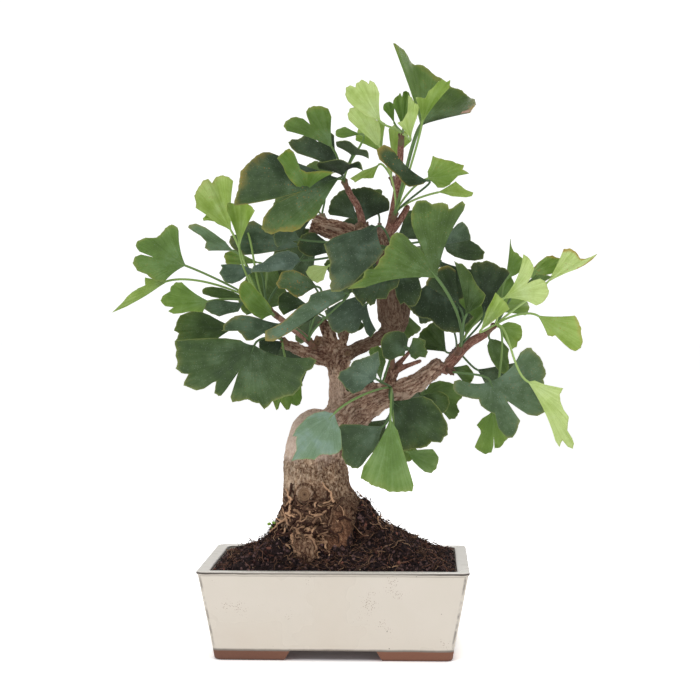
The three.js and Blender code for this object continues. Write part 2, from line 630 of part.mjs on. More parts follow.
    foot: [44, 8, 268], tip: [39, 36, 278], colour: colour.leafDark,
    leaves: [
      leaf([51, 60, 280], [67, 84, 311], [44, 45], [0.78, 0.77], { roll: -20, bend: 24 }),
      leaf([35, 67, 288], [11, 88, 313], [45, 45], [0.78, 0.77], { roll: 15, bend: 24 }),
      leaf([46, 56, 264], [48, 80, 236], [40, 40], [0.74, 0.75], { bend: 24 }),
      leaf([57, 76, 272], [84, 101, 259], [38, 38], [0.75, 0.76], { roll: 25, bend: 24 }),
    ],
  },
  leaves_back_high: {
    foot: [35, 4, 314], tip: [32, 28, 327], colour: colour.leafMid,
    leaves: [
      leaf([31, 40, 337], [21, 54, 355], [38, 38], [0.78, 0.78], { bend: 24 }),
      leaf([45, 50, 318], [72, 70, 332], [38, 39], [0.8, 0.78], { roll: -30, bend: 24 }),
      leaf([26, 52, 323], [-1, 72, 329], [34, 33], [0.78, 0.79], { roll: 30, bend: 24 }),
    ],
  },
  leaves_back_right: {
    foot: [83, -8, 218], tip: [92, 24, 229], colour: colour.leafMid,
    leaves: [
      leaf([101, 44, 242], [106, 60, 275], [44, 43], [0.81, 0.82], { bend: 24 }),
      leaf([90, 58, 248], [80, 84, 280], [44, 44], [0.76, 0.76], { roll: 20, bend: 24 }),
      leaf([116, 32, 259], [146, 59, 275], [37, 36], [0.76, 0.77], { roll: -20, bend: -8 }),
      leaf([110, 40, 213], [145, 56, 198], [41, 41], [0.81, 0.83], { roll: 15, bend: 24 }),
      leaf([85, 60, 227], [67, 88, 244], [33, 34], [0.75, 0.73], { bend: 24 }),
    ],
  },
  leaves_back_low: {
    foot: [33, 3, 192], tip: [42, 34, 190], colour: colour.leafDark,
    leaves: [
      leaf([51, 50, 177], [77, 70, 166], [41, 39], [0.75, 0.8], { roll: 20, bend: 24 }),
      leaf([37, 54, 172], [17, 74, 152], [38, 40], [0.78, 0.75], { roll: -10, bend: 24 }),
      leaf([43, 75, 167], [44, 87, 133], [40, 39], [0.82, 0.83], { bend: -8 }),
      leaf([29, 50, 191], [4, 72, 208], [39, 42], [0.8, 0.76], { roll: 10, bend: 24 }),
      leaf([50, 66, 194], [67, 96, 186], [28, 25], [0.67, 0.75], { roll: 30, bend: 24 }),
    ],
  },
  leaves_back_top: {
    foot: [46.5, 0, 353], tip: [42, 15, 364], colour: colour.leafLight,
    leaves: [
      leaf([34, 26, 385], [21, 38, 408], [36, 36], [0.81, 0.82], { bend: 24 }),
      leaf([43, 34, 379], [48, 52, 406], [24, 25], [0.83, 0.81], { roll: 30, bend: 24 }),
      lobed([32, 19, 375], [3, 27, 365], [
        -6, -8, -16, -6, -29, -14, -24, -18, -17, -14, -11, -14, -6, -14,
      ]),
    ],
  },
  leaves_back_upper_left: {
    foot: [-5, 5, 324], tip: [-13, 26, 335], colour: colour.leafDark,
    leaves: [
      leaf([-25, 38, 345], [-52, 54, 352], [39, 38], [0.78, 0.8], { roll: 20, bend: 24 }),
      leaf([-23, 48, 334], [-48, 68, 329], [36, 33], [0.75, 0.79], { roll: -20, bend: 24 }),
      leaf([-12, 38, 351], [-23, 52, 379], [40, 41], [0.82, 0.8], { bend: 24 }),
    ],
  },
};

// ---------- helpers ----------

function solidOf(geometry) {
  const bare = geometry.clone();
  bare.deleteAttribute('normal');
  bare.deleteAttribute('uv');
  const merged = mergeVertices(bare, 1e-4);
  return new Manifold(new Mesh({
    numProp: 3,
    vertProperties: Float32Array.from(merged.attributes.position.array),
    triVerts: Uint32Array.from(merged.index.array),
  }));
}

function geometryOf(solid) {
  const { numProp, vertProperties, triVerts } = solid.getMesh();
  const geometry = new THREE.BufferGeometry();
  const points = new THREE.InterleavedBuffer(vertProperties, numProp);
  geometry.setAttribute('position', new THREE.InterleavedBufferAttribute(points, 3, 0));
  geometry.setIndex(Array.from(triVerts));
  const plain = geometry.toNonIndexed();
  plain.computeVertexNormals();
  return plain;
}

// Skin over rings of points that all have the same count, closed at both ends.
function loft(rings) {
  const count = rings[0].length;
  const points = rings.flat();
  const faces = [];
  for (let row = 0; row < rings.length - 1; row += 1) {
    for (let k = 0; k < count; k += 1) {
      const a = row * count + k;
      const b = row * count + ((k + 1) % count);
      faces.push(a, b, b + count, a, b + count, a + count);
    }
  }
  [0, rings.length - 1].forEach((row) => {
    const centre = rings[row].reduce((sum, p) => sum.add(p), new THREE.Vector3());
    points.push(centre.divideScalar(count));
    for (let k = 0; k < count; k += 1) {
      const a = row * count + k;
      const b = row * count + ((k + 1) % count);
      faces.push(points.length - 1, ...(row === 0 ? [b, a] : [a, b]));
    }
  });
  const geometry = new THREE.BufferGeometry().setFromPoints(points);
  geometry.setIndex(faces);
  return geometry;
}

function biggest(solid) {
  return solid.decompose().sort((a, b) => b.volume() - a.volume())[0];
}

// Points round a rectangle with rounded corners, at one height.
function roundedRectangle(length, width, radius, z, steps = 4) {
  const ring = [];
  const corners = [[1, 1], [-1, 1], [-1, -1], [1, -1]];
  corners.forEach(([sx, sy], quarter) => {
    for (let k = 0; k <= steps; k += 1) {
      const turn = (quarter + k / steps) * Math.PI / 2;
      ring.push(new THREE.Vector3(
        sx * (length / 2 - radius) + radius * Math.cos(turn),
        sy * (width / 2 - radius) + radius * Math.sin(turn),
        z,
      ));
    }
  });
  return ring;
}

// ---------- pot ----------

function potRing(z, inset, radius) {
  const share = z / pot.height;
  return roundedRectangle(
    THREE.MathUtils.lerp(pot.baseLength, pot.length, share) - 2 * inset,
    THREE.MathUtils.lerp(pot.baseWidth, pot.width, share) - 2 * inset,
    radius,
    z,
  );
}

function footCut(top, bottom, reach, turned) {
  const shape = new THREE.Shape([
    new THREE.Vector2(-bottom / 2 - 1, -1),
    new THREE.Vector2(bottom / 2 + 1, -1),
    new THREE.Vector2(top / 2, pot.footHeight),
    new THREE.Vector2(-top / 2, pot.footHeight),
  ]);
  const geometry = new THREE.ExtrudeGeometry(shape, { depth: reach, bevelEnabled: false });
  geometry.translate(0, 0, -reach / 2);
  geometry.rotateX(Math.PI / 2);
  if (turned) geometry.rotateZ(Math.PI / 2);
  return solidOf(geometry);
}

function makePot() {
  const lipFoot = pot.height - pot.lipHeight;
  const body = solidOf(loft([
    potRing(0, pot.edge, pot.corner - pot.edge),
    potRing(pot.edge, 0, pot.corner),
    potRing(lipFoot - pot.lipSlope, 0, pot.corner),
    potRing(lipFoot, -pot.lip, pot.corner),
    potRing(pot.height - pot.lipEdge, -pot.lip, pot.corner),
    potRing(pot.height, pot.lipEdge - pot.lipSlope, pot.corner - 1),
  ]));
  const inner = pot.corner - 2;
  const hollow = solidOf(loft([
    potRing(pot.floor, pot.wall + 2, inner),
    potRing(pot.floor + 2, pot.wall, inner),
    potRing(pot.height - 1, pot.wall, inner),
    potRing(pot.height + 1, pot.wall - 1, inner),
  ]));
  const recess = solidOf(loft([
    potRing(-1, pot.footWall, inner),
    potRing(pot.footHeight, pot.footWall, inner),
  ]));
  const holes = [-1, 1].map((side) => {
    const hole = new THREE.CylinderGeometry(pot.drain.radius, pot.drain.radius, 40, 20);
    hole.rotateX(Math.PI / 2);
    hole.translate(side * pot.drain.spacing / 2, 0, 0);
    return solidOf(hole);
  });
  return [
    hollow,
    recess,
    footCut(pot.gapLong.top, pot.gapLong.bottom, pot.width + 20, false),
    footCut(pot.gapShort.top, pot.gapShort.bottom, pot.length + 20, true),
    ...holes,
  ].reduce((solid, cut) => solid.subtract(cut), body);
}

// ---------- drainage mesh over each hole ----------

function makeMesh() {
  const pitch = mesh.hole + mesh.rib;
  const plate = new THREE.BoxGeometry(mesh.size, mesh.size, mesh.thickness);
  let solid = solidOf(plate.translate(0, 0, mesh.thickness / 2));
  for (let row = 0; row < mesh.holes; row += 1) {
    for (let column = 0; column < mesh.holes; column += 1) {
      const hole = new THREE.BoxGeometry(mesh.hole, mesh.hole, 4 * mesh.thickness);
      const first = (1 - mesh.holes) / 2;
      hole.translate((first + column) * pitch, (first + row) * pitch, 0);
      solid = solid.subtract(solidOf(hole));
    }
  }
  return geometryOf(solid);
}

// ---------- wood ----------

// A limb: a round body along a smooth curve through its points, a little lobed.
function limbSolid({ path, sides, rough }, grow) {
  const curve = new THREE.CatmullRomCurve3(path.map(vector));
  const steps = path.length - 1;
  const rings = [];
  for (let k = 0; k <= steps; k += 1) {
    const t = k / steps;
    const radius = path[k][3];
    const centre = curve.getPoint(t);
    const along = curve.getTangent(t);
    const across = new THREE.Vector3(0, 1, 0.2).cross(along).normalize();
    const third = along.clone().cross(across);
    rings.push(Array.from({ length: sides }, (_, n) => {
      const turn = n / sides * 2 * Math.PI;
      const lobes = Math.sin(3 * turn + 2.1 * k) + 0.6 * Math.sin(5 * turn - 3.3 * k);
      const reach = radius * (1 + rough * lobes) + grow;
      return centre.clone()
        .addScaledVector(across, reach * Math.cos(turn))
        .addScaledVector(third, reach * Math.sin(turn));
    }));
    if (k === 0 || k === steps) {
      const push = (k === 0 ? -1 : 1) * grow;
      rings[k].forEach((p) => p.addScaledVector(along, push));
    }
  }
  return solidOf(loft(rings));
}

function makeWood(grow = 0) {
  return Manifold.union(limbs.map((limb) => limbSolid(limb, grow)));
}

// ---------- soil ----------

function soilHeight(x, y, share) {
  const [cx, cy] = soil.centre;
  const turn = Math.atan2(y - cy, x - cx);
  const heap = soil.heap + soil.heapEnds * Math.cos(turn) ** 2;
  const lumps = Math.sin(0.21 * x + 0.9) * Math.cos(0.27 * y) + 0.6 * Math.sin(0.43 * y - 0.37 * x);
  const mound = Math.exp(-((share / soil.spread) ** soil.sharpness));
  return soil.level + heap * mound + soil.lump * lumps * (1 - share ** 4);
}

function makeSoil() {
  const [cx, cy] = soil.centre;
  // Where a ray from the trunk meets the edge of the pot.
  const reach = (turn) => Math.min(
    (pot.length / 2 - Math.sign(Math.cos(turn)) * cx) / Math.abs(Math.cos(turn)),
    (pot.width / 2 - Math.sign(Math.sin(turn)) * cy) / Math.abs(Math.sin(turn)),
  );
  const ringAt = (share, height) => Array.from({ length: soil.sectors }, (_, n) => {
    const turn = (n + 0.37) / soil.sectors * 2 * Math.PI;
    const x = cx + share * reach(turn) * Math.cos(turn);
    const y = cy + share * reach(turn) * Math.sin(turn);
    return new THREE.Vector3(x, y, height ?? soilHeight(x, y, share));
  });
  const rings = [ringAt(1, 0)];
  for (let k = soil.rings; k >= 1; k -= 1) rings.push(ringAt(k / soil.rings));
  const inside = [
    potRing(pot.floor + mesh.thickness + 2 * gap, pot.wall + 2 + gap, pot.corner - 2),
    potRing(pot.floor + 5, pot.wall + gap, pot.corner - 2),
    potRing(pot.height + 40, pot.wall + gap, pot.corner - 2),
  ];
  return solidOf(loft(rings)).intersect(solidOf(loft(inside)));
}

// ---------- leaves ----------

function bladeFrame(blade) {
  const line = blade.end.clone().sub(blade.base);
  const length = line.length();
  const along = line.divideScalar(length);
  const facing = new THREE.Vector3(0, -1, 0).addScaledVector(along, along.y).normalize();
  facing.applyAxisAngle(along, THREE.MathUtils.degToRad(blade.roll));
  const across = along.clone().cross(facing);
  const half = THREE.MathUtils.degToRad(blade.bend) / 2;
  return {
    along,
    across,
    out: along.clone().multiplyScalar(Math.cos(half)).addScaledVector(facing, -Math.sin(half)),
    up: along.clone().multiplyScalar(Math.sin(half)).addScaledVector(facing, Math.cos(half)),
    bend: 2 * half,
    arc: length * half / Math.sin(half),
  };
}

// The spot at an angle from the middle line and a distance from the base.
function bladeSpot(blade, angle, reach, u) {
  const { across, out, up, bend, arc } = blade.frame;
  const fold = blade.cup * Math.abs(u) * Math.PI / 2;
  const share = reach / arc;
  const turn = share * bend;
  const ray = out.clone().multiplyScalar(Math.cos(angle))
    .addScaledVector(across, Math.sin(angle) * Math.cos(fold))
    .addScaledVector(up, Math.abs(Math.sin(angle)) * Math.sin(fold));
  const wave = waveHeight * arc * share * share * Math.sin(2 * waves * Math.PI * u + blade.base.x);
  return blade.base.clone()
    .addScaledVector(ray, reach * Math.sin(turn) / turn)
    .addScaledVector(up, arc * (1 - Math.cos(turn)) / bend + wave);
}

// Where the eye sees a point, in steps to the right and up.
function seenAt(point) {
  const [turned, tipped] = [eye.turned, eye.tipped].map(THREE.MathUtils.degToRad);
  const right = new THREE.Vector3(Math.cos(turned), Math.sin(turned), 0);
  const forward = new THREE.Vector3(-Math.sin(turned), Math.cos(turned), -Math.tan(tipped)).normalize();
  const line = point.clone().sub(eye.at);
  const scale = eye.steps / line.dot(forward);
  return [line.dot(right) * scale, line.dot(right.cross(forward)) * scale, 1 / scale];
}

function spreadOf(angles) {
  const [least, most] = [Math.min(...angles), Math.max(...angles)];
  return { middle: (least + most) / 2, half: (most - least) / 2 };
}

// [angle, reach] of every corner of an outline, so that the eye sees it there.
function rimKnots(blade, rim) {
  const { along, across } = blade.frame;
  const [homeX, homeY, step] = seenAt(blade.base);
  const look = (direction) => {
    const [x, y] = seenAt(blade.base.clone().addScaledVector(direction, step));
    return [x - homeX, y - homeY];
  };
  const [ax, ay] = look(across);
  const [lx, ly] = look(along);
  const flat = (x, y) => [x * ly - y * lx, y * ax - x * ay].map((v) => v * step / (ax * ly - ay * lx));
  const aims = Array.from({ length: rim.length / 2 }, (_, n) => [rim[2 * n], rim[2 * n + 1]]);
  let spots = aims.map(([x, y]) => flat(x, y));
  const turnOf = ([sideways, outwards]) => Math.atan2(sideways, outwards);
  for (let round = 0; round < rimRounds; round += 1) {
    const turns = spots.map(turnOf);
    const { middle, half } = spreadOf(turns);
    spots = spots.map((spot, n) => {
      const u = (turns[n] - middle) / half;
      const [x, y] = seenAt(bladeSpot(blade, turns[n], Math.hypot(...spot), u));
      const miss = flat(aims[n][0] - x + homeX, aims[n][1] - y + homeY);
      return [spot[0] + rimPull * miss[0], spot[1] + rimPull * miss[1]];
    });
  }
  let knots = spots.map((spot) => [turnOf(spot), Math.hypot(...spot)]);
  if (knots[0][0] > knots.at(-1)[0]) knots.reverse();
  const centre = knots.length / 2;
  const angles = knots.map(([angle]) => angle);
  const first = angles.indexOf(Math.min(...angles.slice(0, centre)));
  const last = angles.lastIndexOf(Math.max(...angles.slice(centre)));
  knots = knots.slice(first, last + 1);
  for (let n = 1; n < knots.length; n += 1) {
    knots[n][0] = Math.max(knots[n][0], knots[n - 1][0] + rimGap);
  }
  return knots;
}

function turnAt(blade, u) {
  if (blade.knots) return blade.spread.middle + blade.spread.half * u;
  const [left, right] = blade.fan;
  return 0.5 * (left + right) * u + 0.5 * (right - left) * u * u;
}

// Distance from the base to the edge, as a share of the length.
function shareAt(blade, u) {
  if (blade.knots) {
    const turn = turnAt(blade, u);
    const next = blade.knots.findIndex(([angle]) => angle > turn);
    if (next < 0) return blade.knots.at(-1)[1] / blade.frame.arc;
    if (next === 0) return blade.knots[0][1] / blade.frame.arc;
    const [[a, p], [b, q]] = blade.knots.slice(next - 1, next + 1);
    return p * q * Math.sin(b - a) / (p * Math.sin(turn - a) + q * Math.sin(b - turn)) / blade.frame.arc;
  }
  const side = blade.side[u < 0 ? 0 : 1];
  return 1 - (1 - side) * Math.abs(u) ** blade.point;
}

// A place across the fan, u from -1 to 1, and along it, r from 0 to 1.
function bladePoint(blade, u, r, share = shareAt(blade, u)) {
  const middle = turnAt(blade, 0);
  const angle = middle + (turnAt(blade, u) - middle) * (1 - blade.flare * (1 - r));
  return bladeSpot(blade, angle, blade.frame.arc * r * share, u);
}

// Where the columns of the blade stand.
function bladePlaces(blade) {
  if (blade.knots) return rimPlaces(blade);
  return Array.from({ length: bladeColumns }, (_, k) => -1 + 2 * k / (bladeColumns - 1));
}

// The corners of an outline that stand out most.
function rimPlaces(blade) {
  const longest = Math.max(...blade.knots.map(([, reach]) => reach));
  const corners = blade.knots.filter(([, reach]) => reach > rimStart * longest);
  const area = ([a, p], [b, q], [c, r]) => 0.5 * Math.abs(
    p * q * Math.sin(b - a) + q * r * Math.sin(c - b) - p * r * Math.sin(c - a),
  );
  while (corners.length > rimCorners) {
    const sizes = corners.slice(1, -1).map((corner, n) => area(corners[n], corner, corners[n + 2]));
    const least = Math.min(...sizes);
    if (least > rimDetail) break;
    corners.splice(sizes.indexOf(least) + 1, 1);
  }
  return corners.map(([angle]) => (angle - blade.spread.middle) / blade.spread.half);
}

// Petiole and blade as one skin: four-sided rings run up to the blade's base,
// and its last ring opens into the two faces of the fan.
function leafSolid(blade, foot, tip) {
  const rings = petioleRings(blade, foot, tip);
  const places = bladePlaces(blade);
  const columns = places.length;
  const rows = bladeRows.map((r) => [1, -1].map((face) => places.map((u) => facePoint(blade, u, r, face))));
  const points = [...rings.flat(), ...rows.flat(2)];
  const faces = [0, 1, 2, 0, 2, 3];
  for (let row = 0; row < rings.length - 1; row += 1) {
    for (let k = 0; k < 4; k += 1) {
      const a = row * 4 + k;
      const b = row * 4 + ((k + 1) % 4);
      faces.push(a, b + 4, b, a, a + 4, b + 4);
    }
  }
  const base = (rings.length - 1) * 4;
  const first = rings.length * 4;
  const at = (row, side, column) => first + (row * 2 + side) * columns + column;
  const middle = places.reduce((best, u, k) => (Math.abs(u) < Math.abs(places[best]) ? k : best), 0);
  const half = THREE.MathUtils.clamp(middle, 1, columns - 2);
  for (let column = 0; column < columns - 1; column += 1) {
    const near = column < half ? 1 : 0;
    faces.push(base + near, at(0, 0, column + 1), at(0, 0, column));
    faces.push(base + 3 - near, at(0, 1, column), at(0, 1, column + 1));
    for (let row = 0; row < bladeRows.length - 1; row += 1) {
      const [a, b] = [at(row, 0, column), at(row, 0, column + 1)];
      const [d, c] = [at(row + 1, 0, column), at(row + 1, 0, column + 1)];
      faces.push(a, b, c, a, c, d);
      faces.push(a + columns, c + columns, b + columns, a + columns, d + columns, c + columns);
    }
    const [e, f] = [at(bladeRows.length - 1, 0, column), at(bladeRows.length - 1, 0, column + 1)];
    faces.push(e, f, f + columns, e, f + columns, e + columns);
  }
  faces.push(base, at(0, 0, half), base + 1, base + 3, base + 2, at(0, 1, half));
  const edges = [
    [base + 1, base + 2, ...bladeRows.flatMap((_, row) => [at(row, 0, 0), at(row, 1, 0)])],
    [base + 3, base, ...bladeRows.flatMap((_, row) => [at(row, 1, columns - 1), at(row, 0, columns - 1)])],
  ];
  edges.forEach((edge) => {
    for (let k = 0; k < edge.length - 2; k += 2) {
      const [a, b, c, d] = edge.slice(k, k + 4);
      faces.push(a, c, d, a, d, b);
    }
  });
  const geometry = new THREE.BufferGeometry().setFromPoints(points);
  geometry.setIndex(faces);
  return solidOf(geometry);
}

function facePoint(blade, u, r, face) {
  const tiny = 1e-3;
  const share = shareAt(blade, u);
  const sideways = bladePoint(blade, u + tiny, r, share).sub(bladePoint(blade, u - tiny, r, share));
  const outwards = bladePoint(blade, u, r, share).sub(bladePoint(blade, u, r - tiny, share));
  const normal = sideways.cross(outwards).normalize();
  return bladePoint(blade, u, r).addScaledVector(normal, face * leafThickness / 2);
}

// Corners of each ring: right top, left top, left bottom, right bottom.
function petioleRings(blade, foot, tip) {
  const leap = blade.base.distanceTo(tip);
  const start = tip.clone().sub(foot).normalize();
  const arrive = bladePoint(blade, 0, 0.5).sub(blade.base).normalize();
  const root = tip.clone().addScaledVector(start, -petioleDepth);
  const curve = new THREE.CubicBezierCurve3(
    root,
    tip.clone().addScaledVector(start, leap * petioleSweep),
    blade.base.clone().addScaledVector(arrive, -leap * petioleSweep),
    blade.base,
  );
  const steps = leap > longPetiole ? 3 : 2;
  const across = facePoint(blade, 1, baseRow, 1).sub(facePoint(blade, -1, baseRow, 1));
  const radius = blade.stalk ?? petioleRadius;
  const corners = [[1, 1], [-1, 1], [-1, -1], [1, -1]];
  const rings = [corners.map(([u, face]) => facePoint(blade, u, baseRow, face))];
  const side = across.clone().addScaledVector(arrive, -across.dot(arrive)).normalize();
  const centres = curve.getPoints(steps);
  let before = arrive;
  for (let k = steps - 1; k >= 0; k -= 1) {
    const centre = centres[k];
    const along = centres[k + 1].clone().sub(centres[Math.max(k - 1, 0)]).normalize();
    side.applyQuaternion(new THREE.Quaternion().setFromUnitVectors(before, along));
    before = along;
    const up = side.clone().cross(along);
    rings.unshift(corners.map(([a, b]) => centre.clone()
      .addScaledVector(side, a * radius * Math.SQRT1_2)
      .addScaledVector(up, b * radius * Math.SQRT1_2)));
  }
  return rings;
}

function makeSpray({ foot, tip, leaves }, woodGrown) {
  const ends = [vector(foot), vector(tip)];
  const bud = limbSolid({
    path: [[...foot, spurRadius], [...tip, spurRadius * 1.15]],
    sides: 7,
    rough: 0.03,
  }, 0);
  const pieces = leaves.map((blade) => leafSolid(blade, ...ends));
  return biggest(Manifold.union([bud, ...pieces]).subtract(woodGrown));
}

// ---------- the tree ----------

const tree = new THREE.Group();

function add(name, geometry, colourOf, roughness) {
  const material = new THREE.MeshStandardMaterial({ color: colourOf, roughness, metalness: 0 });
  const piece = new THREE.Mesh(geometry, material);
  piece.name = name;
  tree.add(piece);
  return piece;
}

const woodGrown = makeWood(gap);

add('pot', geometryOf(makePot()), colour.glaze, 0.35);
['drain_mesh_left', 'drain_mesh_right'].forEach((name, k) => {
  const piece = add(name, makeMesh(), colour.mesh, 0.6);
  piece.position.set((k - 0.5) * pot.drain.spacing, 0, pot.floor + gap);
});
add('soil', geometryOf(makeSoil().subtract(woodGrown)), colour.soil, 0.95);
add('wood', geometryOf(makeWood()), colour.bark, 0.85);
Object.entries(sprays).forEach(([name, spray]) => {
  add(name, geometryOf(makeSpray(spray, woodGrown)), spray.colour, 0.5);
});

const bounds = new THREE.Box3().setFromObject(tree);
const middle = bounds.getCenter(new THREE.Vector3());
tree.position.set(-middle.x, -middle.y, -bounds.min.z);

const bonsai = new THREE.Group();
bonsai.add(tree);

export default bonsai;
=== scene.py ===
import math
import random

import bpy
import numpy as np
from mathutils import Euler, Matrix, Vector, noise
from mathutils.bvhtree import BVHTree


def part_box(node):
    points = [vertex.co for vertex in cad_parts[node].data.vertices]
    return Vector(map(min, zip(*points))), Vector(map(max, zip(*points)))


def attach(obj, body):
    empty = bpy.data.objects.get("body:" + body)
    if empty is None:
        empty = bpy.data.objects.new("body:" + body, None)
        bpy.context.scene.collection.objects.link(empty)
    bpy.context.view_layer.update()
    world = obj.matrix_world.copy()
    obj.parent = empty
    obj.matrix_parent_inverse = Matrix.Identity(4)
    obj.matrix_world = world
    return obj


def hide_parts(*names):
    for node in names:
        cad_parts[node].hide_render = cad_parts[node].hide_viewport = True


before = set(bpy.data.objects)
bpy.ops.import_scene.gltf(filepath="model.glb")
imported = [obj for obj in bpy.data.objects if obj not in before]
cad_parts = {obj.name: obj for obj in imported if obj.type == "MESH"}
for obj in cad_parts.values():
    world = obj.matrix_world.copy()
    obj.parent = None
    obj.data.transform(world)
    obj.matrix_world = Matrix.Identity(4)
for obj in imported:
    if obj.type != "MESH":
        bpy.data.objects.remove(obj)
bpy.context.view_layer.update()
potLow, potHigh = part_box("pot")
# everything below is laid out in millimetres from the middle of the pot at the table
potCentre = np.array([(potLow.x + potHigh.x) / 2, (potLow.y + potHigh.y) / 2, 0.0])
mm = 0.001
print("frame loaded:", len(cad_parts), "nodes")


def unit(v):
    return v / np.linalg.norm(v)


def toRow(points):
    return np.asarray(points, float) * mm + potCentre


def fromRow(points):
    return (points - potCentre) / mm


def smoothStep(a, b, x):
    t = np.clip((x - a) / (b - a), 0, 1)
    return t * t * (3 - 2 * t)


# 1 between b and c, fading to 0 at a and at d
def within(a, b, c, d, x):
    return smoothStep(a, b, x) * smoothStep(d, c, x)


# broad lumps of noise with finer ones on them, at each point
def lumpsAt(co, broad, fine):
    return np.array([noise.noise(p) + 0.5 * noise.noise(q) for p, q in zip(co / broad, co / fine)])


def vertexArray(mesh, name="co"):
    found = np.zeros(len(mesh.vertices) * 3)
    source = mesh.vertices if name == "co" else mesh.vertex_normals
    source.foreach_get("co" if name == "co" else "vector", found)
    return found.reshape(-1, 3)


def store(mesh, name, values):
    layer = mesh.attributes.new(name, "FLOAT", "POINT")
    layer.data.foreach_set("value", np.asarray(values, np.float32))


def addObject(name, data):
    piece = bpy.data.objects.new(name, data)
    bpy.context.scene.collection.objects.link(piece)
    return piece


# points in mm from the pot's middle
def makePiece(name, points, faces, materials=(), attributes=None, uv=None, faceMaterials=None,
              sharpAt=None):
    mesh = bpy.data.meshes.new(name)
    mesh.from_pydata(toRow(points).tolist(), [], faces)
    for material in materials:
        mesh.materials.append(material)
    for key, values in (attributes or {}).items():
        store(mesh, key, values)
    if uv is not None:
        corners = np.zeros(len(mesh.loops), np.int32)
        mesh.loops.foreach_get("vertex_index", corners)
        layer = mesh.uv_layers.new(name="blade")
        layer.data.foreach_set("uv", np.asarray(uv, np.float32)[corners].ravel())
    if faceMaterials is not None:
        mesh.polygons.foreach_set("material_index", np.asarray(faceMaterials, np.int32))
    mesh.polygons.foreach_set("use_smooth", [True] * len(mesh.polygons))
    if sharpAt:
        mesh.set_sharp_from_angle(angle=math.radians(sharpAt))
    mesh.update()
    return addObject(name, mesh)


# applies what modifiers the piece has, and leaves a plain mesh
def settle(piece):
    view = bpy.context.evaluated_depsgraph_get()
    done = bpy.data.meshes.new_from_object(piece.evaluated_get(view), depsgraph=view)
    old = piece.data
    piece.modifiers.clear()
    piece.data = done
    bpy.data.meshes.remove(old)
    return piece


def dress(piece, slot, *nodes):
    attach(piece, "root")
    if nodes:
        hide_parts(*nodes)


# gathers points, faces and the values on them for one mesh
class Skin:
    def __init__(self, *names):
        self.points, self.faces, self.paint, self.uv = [], [], [], []
        self.values = {name: [] for name in names}
        self.count = 0

    def add(self, points, faces, uv=None, paint=0, **values):
        points = np.asarray(points, float).reshape(-1, 3)
        self.points.append(points)
        self.faces += [[v + self.count for v in face] for face in faces]
        self.paint += [paint] * len(faces)
        self.uv.append(np.zeros((len(points), 2)) if uv is None else np.asarray(uv).reshape(-1, 2))
        for name, gathered in self.values.items():
            value = np.asarray(values.get(name, 0.0), float)
            gathered.append(np.broadcast_to(value.reshape(-1) if value.ndim else value, (len(points),)))
        self.count += len(points)

    def piece(self, name, materials, sharpAt=None):
        values = {key: np.concatenate(gathered) for key, gathered in self.values.items()}
        return makePiece(name, np.concatenate(self.points), self.faces, materials, values,
                         np.concatenate(self.uv), self.paint, sharpAt)


# faces between the rows of a grid of points, and the path round its border
def gridFaces(rows, columns):
    grid = np.arange(rows * columns).reshape(rows, columns)
    quads = (grid[:-1, :-1], grid[:-1, 1:], grid[1:, 1:], grid[1:, :-1])
    border = list(grid[0, :]) + list(grid[1:, -1]) + list(grid[-1, -2::-1]) + list(grid[-2:0:-1, 0])
    return [list(face) for face in zip(*(corner.ravel() for corner in quads))], border


# faces between rings that each have the same number of points
def ringFaces(rings, sides):
    return [[row * sides + k, row * sides + (k + 1) % sides, (row + 1) * sides + (k + 1) % sides,
             (row + 1) * sides + k] for row in range(rings - 1) for k in range(sides)]


pathStep = 2.0  # mm between samples along a limb


# even samples on a centripetal curve through the rows [x, y, z, radius]
def smoothPath(path):
    rows = [np.array(row, float) for row in path]
    rows = [2 * rows[0] - rows[1]] + rows + [2 * rows[-1] - rows[-2]]
    found = []
    for k in range(1, len(rows) - 2):
        p0, p1, p2, p3 = rows[k - 1:k + 3]
        gaps = [max(np.linalg.norm(b[:3] - a[:3]), 1e-4) ** 0.5 for a, b in ((p0, p1), (p1, p2), (p2, p3))]
        tangent1 = ((p1 - p0) / gaps[0] - (p2 - p0) / (gaps[0] + gaps[1]) + (p2 - p1) / gaps[1]) * gaps[1]
        tangent2 = ((p2 - p1) / gaps[1] - (p3 - p1) / (gaps[1] + gaps[2]) + (p3 - p2) / gaps[2]) * gaps[1]
        steps = max(2, int(np.linalg.norm(p2[:3] - p1[:3]) / pathStep))
        for n in range(steps):
            t = n / steps
            found.append((2 * t ** 3 - 3 * t ** 2 + 1) * p1 + (t ** 3 - 2 * t ** 2 + t) * tangent1
                         + (3 * t ** 2 - 2 * t ** 3) * p2 + (t ** 3 - t ** 2) * tangent2)
    found.append(rows[-2])
    return np.array(found)


def directions(points):
    along = np.gradient(points, axis=0)
    return along / np.linalg.norm(along, axis=1)[:, None]


# closed round tube: rings along points, a point at each end
def tube(points, radii, sides, start=None):
    along = directions(points)
    across = np.array(start, float) if start is not None else np.cross(along[0], [0.3, 1, 0.2])
    turns = np.arange(sides) / sides * 2 * math.pi
    rings = []
    for centre, radius, direction in zip(points, radii, along):
        across = unit(across - direction * across.dot(direction))
        third = np.cross(direction, across)
        rings.append(centre + radius * (np.cos(turns)[:, None] * across + np.sin(turns)[:, None] * third))
    skin = np.concatenate(rings + [points[:1] - along[0] * radii[0] * 0.4,
                                   points[-1:] + along[-1] * radii[-1] * 0.6])
    foot, last = len(points) * sides, (len(points) - 1) * sides
    faces = ringFaces(len(points), sides) + [[foot, (k + 1) % sides, k] for k in range(sides)]
    return skin, faces + [[foot + 1, last + k, last + (k + 1) % sides] for k in range(sides)]


